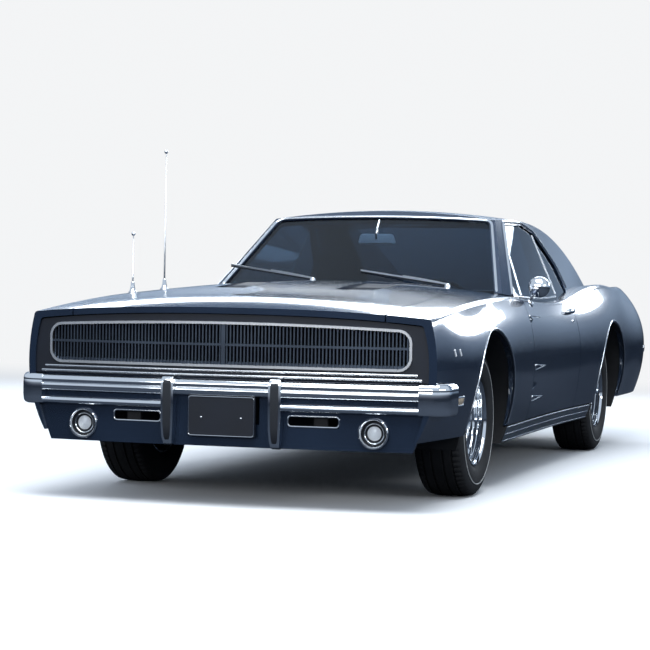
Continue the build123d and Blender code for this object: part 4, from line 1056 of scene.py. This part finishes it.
# Floor shifter with its boot
tunnel_z = 0.386
boot = mm((0, 46), (6, 44), (12, 34), (18, 36), (24, 26), (30, 28), (36, 16), (42, 14), (42, 0))
lathe("shifter_boot", boot, (0.0, -0.3, tunnel_z - 0.0005), upward, seal_rubber, 48)
lever = [(0, -0.3, tunnel_z + 0.038), (0, -0.292, tunnel_z + 0.12), (0, -0.262, tunnel_z + 0.225)]
sweep("shifter_lever", lever, round_profile(0.0062, 10), (1, 0, 0), bright_trim)
lathe("shifter_knob", ball_profile(0.021), (0, -0.26, tunnel_z + 0.24), upward, hard_vinyl, 32)

# Bonnet vents: black slatted inserts in the two recesses
slat = mm((7.5, 0), (6, 5.5), (-4, 1.2), (-7.5, 0))
for sign, hand in hands:
    slats = []
    for i in range(14):
        y = -1.53 + 0.0205 * i
        line = [top_point(sign * (0.2205 + 0.0211 * k), y, hood_tree)[0] + Vector((0, 0, 0.0005))
                for k in range(9)]
        slats.append(sweep_mesh(line, slat, upward))
    piece(f"bonnet_vent_slats_{hand}", *joined(slats), satin_black, "hood", angle=20,
          slot="black_metal")
    bed = [top_point(sign * x, y, hood_tree)[0] + Vector((0, 0, 0.0006)) for y in (-1.545, -1.245)
           for x in (0.2165, 0.3935)]
    piece(f"bonnet_vent_bed_{hand}", bed, [(0, 1, 3, 2)], grille_black, "hood")

# Under the bonnet: finned valve covers, air cleaner, pulleys, belts, leads and hoses
cover_z = 0.69
cover_side = mm((205, 690), (205, 722), (222, 740), (300, 740), (322, 722), (326, 690))
for sign, hand in hands:
    verts = []
    for y, inset in ((-1.752, 0.01), (-1.742, 0.0), (-1.248, 0.0), (-1.238, 0.01)):
        verts += [Vector((sign * (x + (0.265 - x) * inset * 4), y, z - (z - cover_z) * inset * 8))
                  for x, z in cover_side]
    piece(f"valve_cover_{hand}", verts, tube_faces(4, len(cover_side)), engine_paint, angle=25)
    fins, bolts = [], []
    for i in range(6):
        x = sign * (0.234 + 0.0105 * i)
        fins.append(sweep_mesh([(x, -1.7, 0.7402), (x, -1.29, 0.7402)], half_round(0.0035, 0.004),
                               upward))
    piece(f"valve_cover_fins_{hand}", *joined(fins), bright_trim)
    for i in range(5):
        for x in (0.213, 0.318):
            bolts.append(ring_mesh(mm((-2, 7.5), (4, 7), (5.5, 4.5), (5.5, 0)),
                                   (sign * x, -1.7 + 0.105 * i, 0.729), upward, 12))
    piece(f"valve_cover_bolts_{hand}", *joined(bolts), bright_trim)
    lathe(f"oil_cap_{hand}", mm((0, 0), (0, 23), (20, 22), (26, 18), (26, 0)),
          (sign * 0.262, -1.268, 0.739), upward, chrome, 32)
    for i in range(4):
        start = Vector((sign * (0.06 + 0.012 * i), -1.255 - 0.006 * i, 0.7))
        plug = Vector((sign * 0.345, -1.69 + 0.125 * i, 0.632))
        way = rounded([start, start + Vector((sign * 0.1, 0.0, 0.055)),
                       (sign * 0.33, plug.y + 0.02, 0.752), plug], 0.045, arc=7)
        sweep(f"plug_lead_{hand}_{i}", way, round_profile(0.004, 8), to_rear, seal_rubber)
filter_at = (0, -1.5, 0.745)
filter_cap = mm((-30, 0), (-30, 166), (24, 166), (30, 160), (31.5, 150), (31.5, 110), (34.5, 104),
                (34.5, 50), (36.5, 40), (36.5, 0))
lathe("air_filter", filter_cap, filter_at, upward, satin_black, 96, slot="black_metal")
band = mm((-18, 166.2), (-18, 169), (6, 169), (6, 166.2))
lathe("air_filter_band", band, filter_at, upward, engine_paint, 96)
nut = mm((0, 0), (0, 10), (6, 9), (12, 5), (18, 4), (18, 0))
lathe("air_filter_nut", nut, (0, -1.5, 0.7815), upward, bright_trim, 20)
pulley_y = -1.806
crank_z, pump_z = 0.4, 0.56
for label, x, z, radius in (("crank", 0.0, crank_z, 0.075), ("pump", 0.0, pump_z, 0.062),
                            ("alternator", 0.165, 0.64, 0.04)):
    pulley = [(-0.012, 0.012), (-0.012, radius), (-0.008, radius), (-0.002, radius - 0.01),
              (0.004, radius), (0.008, radius), (0.008, radius - 0.016), (0.002, radius - 0.018),
              (0.002, 0.012)]
    lathe(f"pulley_{label}", pulley, (x, pulley_y, z), to_front, steel, 64)
belt, belt_out = [], []
for i in range(40):
    a = 2 * pi * i / 40
    r, z = (0.071, crank_z) if sin(a) < 0 else (0.058, pump_z)
    belt.append((r * cos(a), pulley_y, z + r * sin(a)))
    belt_out.append((cos(a), 0, sin(a)))
sweep("fan_belt", belt, mm((6, -4), (4, 4), (-4, 4), (-6, -4)), belt_out, seal_rubber, closed=True)
clip = mm((-5, 21.2), (-5, 22.8), (5, 22.8), (5, 21.2))
for label, line in (("upper", mm((100, -2290, 735), (110, -2180, 750), (120, -1960, 715),
                                 (100, -1800, 680))),
                    ("lower", mm((-240, -2290, 420), (-230, -2180, 410), (-200, -1960, 430),
                                 (-140, -1800, 470)))):
    way = rounded(line, 0.07, arc=8)
    sweep(f"radiator_hose_{label}", way, round_profile(0.021, 16), upward, seal_rubber)
    for tag, end, direction, shift in (("front", way[0], way[1] - way[0], 0.016),
                                       ("rear", way[-1], way[-1] - way[-2], -0.016)):
        lathe(f"hose_clip_{label}_{tag}", clip, end + direction.normalized() * shift, direction,
              bright_trim, 32)

# Radiator core, with fine upright tubes and a filler cap
core = []
for i in range(64):
    x = -0.328 + 0.0104 * i
    for y, out in ((-2.2948, to_rear), (-2.3302, to_front)):
        core.append(sweep_mesh([(x, y, 0.372), (x, y, 0.738)], half_round(0.004, 0.002), out))
piece("radiator_fins", *joined(core), satin_black, slot="black_metal")
cap = mm((0, 0), (0, 26), (6, 30), (10, 30), (12, 22), (16, 18), (16, 0))
lathe("radiator_cap", cap, (-0.08, -2.312, 0.775), upward, chrome, 40)

# Exhaust: bright tips, a near-black disc across each mouth as painted shade inside the pipe, clamps
# and silencer seams
tip = mm((-110, 27.2), (-110, 29.5), (-20, 30), (-4, 31.5), (2, 30.8), (2, 26.2), (-6, 25),
         (-20, 24), (-20, 0))
tip_shade_disc = mm((-1.5, 0), (-1.5, 24.8), (0.8, 25), (0.8, 0))
clamp = mm((-10, 27.2), (-10, 30.5), (10, 30.5), (10, 27.2))
seam = mm((-4, 61.8), (-4, 64), (4, 64), (4, 61.8))
for sign, hand in hands:
    tip_axis = Vector((sign * 0.025, 0.59, 0.063)).normalized()
    tip_end = (sign * 0.455, 2.59, 0.25)
    lathe(f"exhaust_tip_{hand}", tip, tip_end, tip_axis, chrome, 56)
    # A near-black disc across the pipe's mouth: painted shade inside the pipe.
    lathe(f"exhaust_mouth_shade_{hand}", tip_shade_disc, tip_end, tip_axis, grille_black, 40)
    for y in (1.49, 1.912):
        lathe(f"silencer_clamp_{hand}_{int(y * 1000)}", clamp, (sign * 0.43, y, 0.1875), to_rear,
              steel, 40)
    for y in (1.53, 1.7, 1.87):
        lathe(f"silencer_seam_{hand}_{int(y * 1000)}", seam, (sign * 0.44, y, 0.2), to_rear,
              exhaust_metal, 56)

# Rear axle: ribbed cover with bolts
cover = mm((82, 98), (80, 112), (92, 112), (100, 96), (112, 70), (118, 30), (119, 0))
lathe("axle_cover", cover, (0, rear_axle, axle_z), to_rear, iron, 64)
bolts = []
for i in range(10):
    a = 2 * pi * i / 10
    place = (0.104 * cos(a), rear_axle + 0.091, axle_z + 0.104 * sin(a))
    bolts.append(ring_mesh(mm((0, 7), (8, 6.5), (8, 0)), place, to_rear, 6))
piece("axle_cover_bolts", *joined(bolts), steel, angle=20)

# Front springs round the dampers, inside the suspension towers
tower_x = 0.575
damper = mm((0, 0), (0, 26), (110, 26), (112, 18), (200, 18), (200, 0))
for sign, hand in hands:
    coil = []
    for i in range(150):
        a = 2 * pi * i / 25
        coil.append((sign * tower_x + 0.045 * cos(a), front_axle + 0.045 * sin(a),
                     0.264 + 0.0013 * i))
    sweep(f"front_spring_{hand}", coil, round_profile(0.0065, 8), upward, satin_black)
    lathe(f"front_damper_{hand}", damper, (sign * tower_x, front_axle, 0.262), upward, satin_black,
          32)

# Stage, camera and lights
camera_white = (0.9, 0.905, 0.91, 1)
paper_white = (0.9, 0.91, 0.92, 1)
floor_color = shader("floor", (0.86, 0.87, 0.88), 0.0, 0.8, spread=0.02, grain=1)
tree = floor_color.node_tree
bsdf = tree.nodes["Principled BSDF"]
by_camera = add_node(tree, "LightPath", {}).outputs["Is Camera Ray"]
spot = add_node(tree, "NewGeometry", {}).outputs["Position"]
split = add_node(tree, "SeparateXYZ", {"Vector": spot}).outputs
# For rays other than the camera's, the floor is near-black at the ground and pale blue higher up
# the cove: painted reflection and shade, so the car's lower sides mirror a dark floor and its upper
# sides a bright one.
rise = add_node(tree, "MapRange", {"From Min": 0.4, "From Max": 2.6, "Value": split["Z"]})
painted_reflection_floor = add_node(tree, "Mix", {"A": (0.035, 0.042, 0.055, 1), "B": (0.62, 0.72, 0.84, 1),
                                  "Factor": rise.outputs["Result"]}, data_type="RGBA")
pale = add_node(tree, "Mix", {"A": painted_reflection_floor.outputs["Result"], "B": camera_white,
                              "Factor": by_camera}, data_type="RGBA")
feed(bsdf, {"Specular IOR Level": 0.0, "Base Color": pale.outputs["Result"]})
far = add_node(tree, "MapRange", {"From Min": 2.5, "From Max": 11.0, "Value": split["Y"]},
               interpolation_type="SMOOTHSTEP")
flat = add_node(tree, "VectorMath", {0: spot}, operation="LENGTH")
wide = add_node(tree, "MapRange", {"From Min": 6.5, "From Max": 14.0,
                                   "Value": flat.outputs["Value"]}, interpolation_type="SMOOTHSTEP")
widest = add_node(tree, "Math", {0: far.outputs["Result"], 1: wide.outputs["Result"]},
                  operation="MAXIMUM")
far_camera = add_node(tree, "Math", {0: widest.outputs["Value"], 1: by_camera},
                      operation="MULTIPLY")
paper = add_node(tree, "Emission", {"Color": paper_white})
both = add_node(tree, "MixShader", {"Fac": far_camera.outputs["Value"], 1: bsdf.outputs["BSDF"],
                                    2: paper.outputs["Emission"]})
feed(tree.nodes["Material Output"], {"Surface": both.outputs["Shader"]})
curve = [(-30, 0), (14, 0)] + [(14 + 6 * sin(radians(a)), 6 - 6 * cos(radians(a)))
                               for a in range(10, 91, 10)]
curve += [(20, 20)]
count = len(curve)
mesh = bpy.data.meshes.new("studio_floor")
mesh.from_pydata([Vector((x, y, z)) for x in (-30, 30) for y, z in curve], [],
                 [(i, i + 1, count + i + 1, count + i) for i in range(count - 1)])
mesh.shade_smooth()
mesh.materials.append(floor_color)
floor = bpy.data.objects.new("studio_floor", mesh)
scene.collection.objects.link(floor)


def softbox(name, place, aim, size, power, color=(1, 1, 1)):
    """A rectangular light of some watts, aimed at a point."""
    data = bpy.data.lights.new(name, "AREA")
    data.shape = "RECTANGLE"
    data.size, data.size_y = size
    data.energy = power
    data.color = color
    lamp = bpy.data.objects.new(name, data)
    lamp.location = place
    lamp.rotation_euler = (Vector(aim) - Vector(place)).to_track_quat("-Z", "Y").to_euler()
    scene.collection.objects.link(lamp)


blue_white = (0.88, 0.94, 1.0)
softbox("top_light", (0.8, -3.4, 5.2), (0.2, -1.6, 0), (4.6, 4.6), 470, (0.9, 0.95, 1.0))
softbox("rear_light", (-1.8, 7.0, 3.9), (0.0, -1.4, 0.8), (9.0, 2.0), 380, blue_white)
softbox("side_light", (8.0, -4.5, 3.2), (0, -0.6, 0.8), (5.0, 1.0), 110, (0.92, 0.96, 1.0))
softbox("flank_light", (3.9, 8.0, 2.5), (0.9, -1.6, 0.7), (3.0, 0.9), 70, blue_white)
softbox("front_light", (-1.0, -12.5, 3.4), (0, -1.0, 0.4), (9.0, 2.2), 260)

world = bpy.data.worlds.new("studio")
scene.world = world
world.use_nodes = True
tree = world.node_tree
by_camera = add_node(tree, "LightPath", {}).outputs["Is Camera Ray"]
way = add_node(tree, "TexCoord", {}).outputs["Generated"]
height = add_node(tree, "SeparateXYZ", {"Vector": way}).outputs["Z"]
sky = color_ramp(tree, height, (0.0, (0.05, 0.06, 0.09)), (0.14, (0.66, 0.77, 0.92)))
seen = add_node(tree, "Mix", {"A": sky, "B": (1.13, 1.14, 1.15, 1), "Factor": by_camera},
                data_type="RGBA")
feed(tree.nodes["Background"], {"Color": seen.outputs["Result"], "Strength": 0.8})

# The camera, solved from points of the photograph
photo_width, focal_length = 650, 2099
az, el, roll = radians(17.76), radians(1.13), radians(0.95)
backward = Vector((sin(az) * cos(el), -cos(az) * cos(el), sin(el)))
right = Vector((0, 0, 1)).cross(backward).normalized()
up = backward.cross(right)
turn = Matrix((right * cos(roll) + up * sin(roll), -right * sin(roll) + up * cos(roll),
               backward)).transposed()
lens = bpy.data.cameras.new("camera")
lens.sensor_width = 36
lens.lens = focal_length / photo_width * lens.sensor_width
camera = bpy.data.objects.new("camera", lens)
camera.matrix_world = Matrix.Translation((3.09, -10.86, 0.95)) @ turn.to_4x4()
scene.collection.objects.link(camera)
scene.camera = camera
scene.view_settings.view_transform = "Standard"
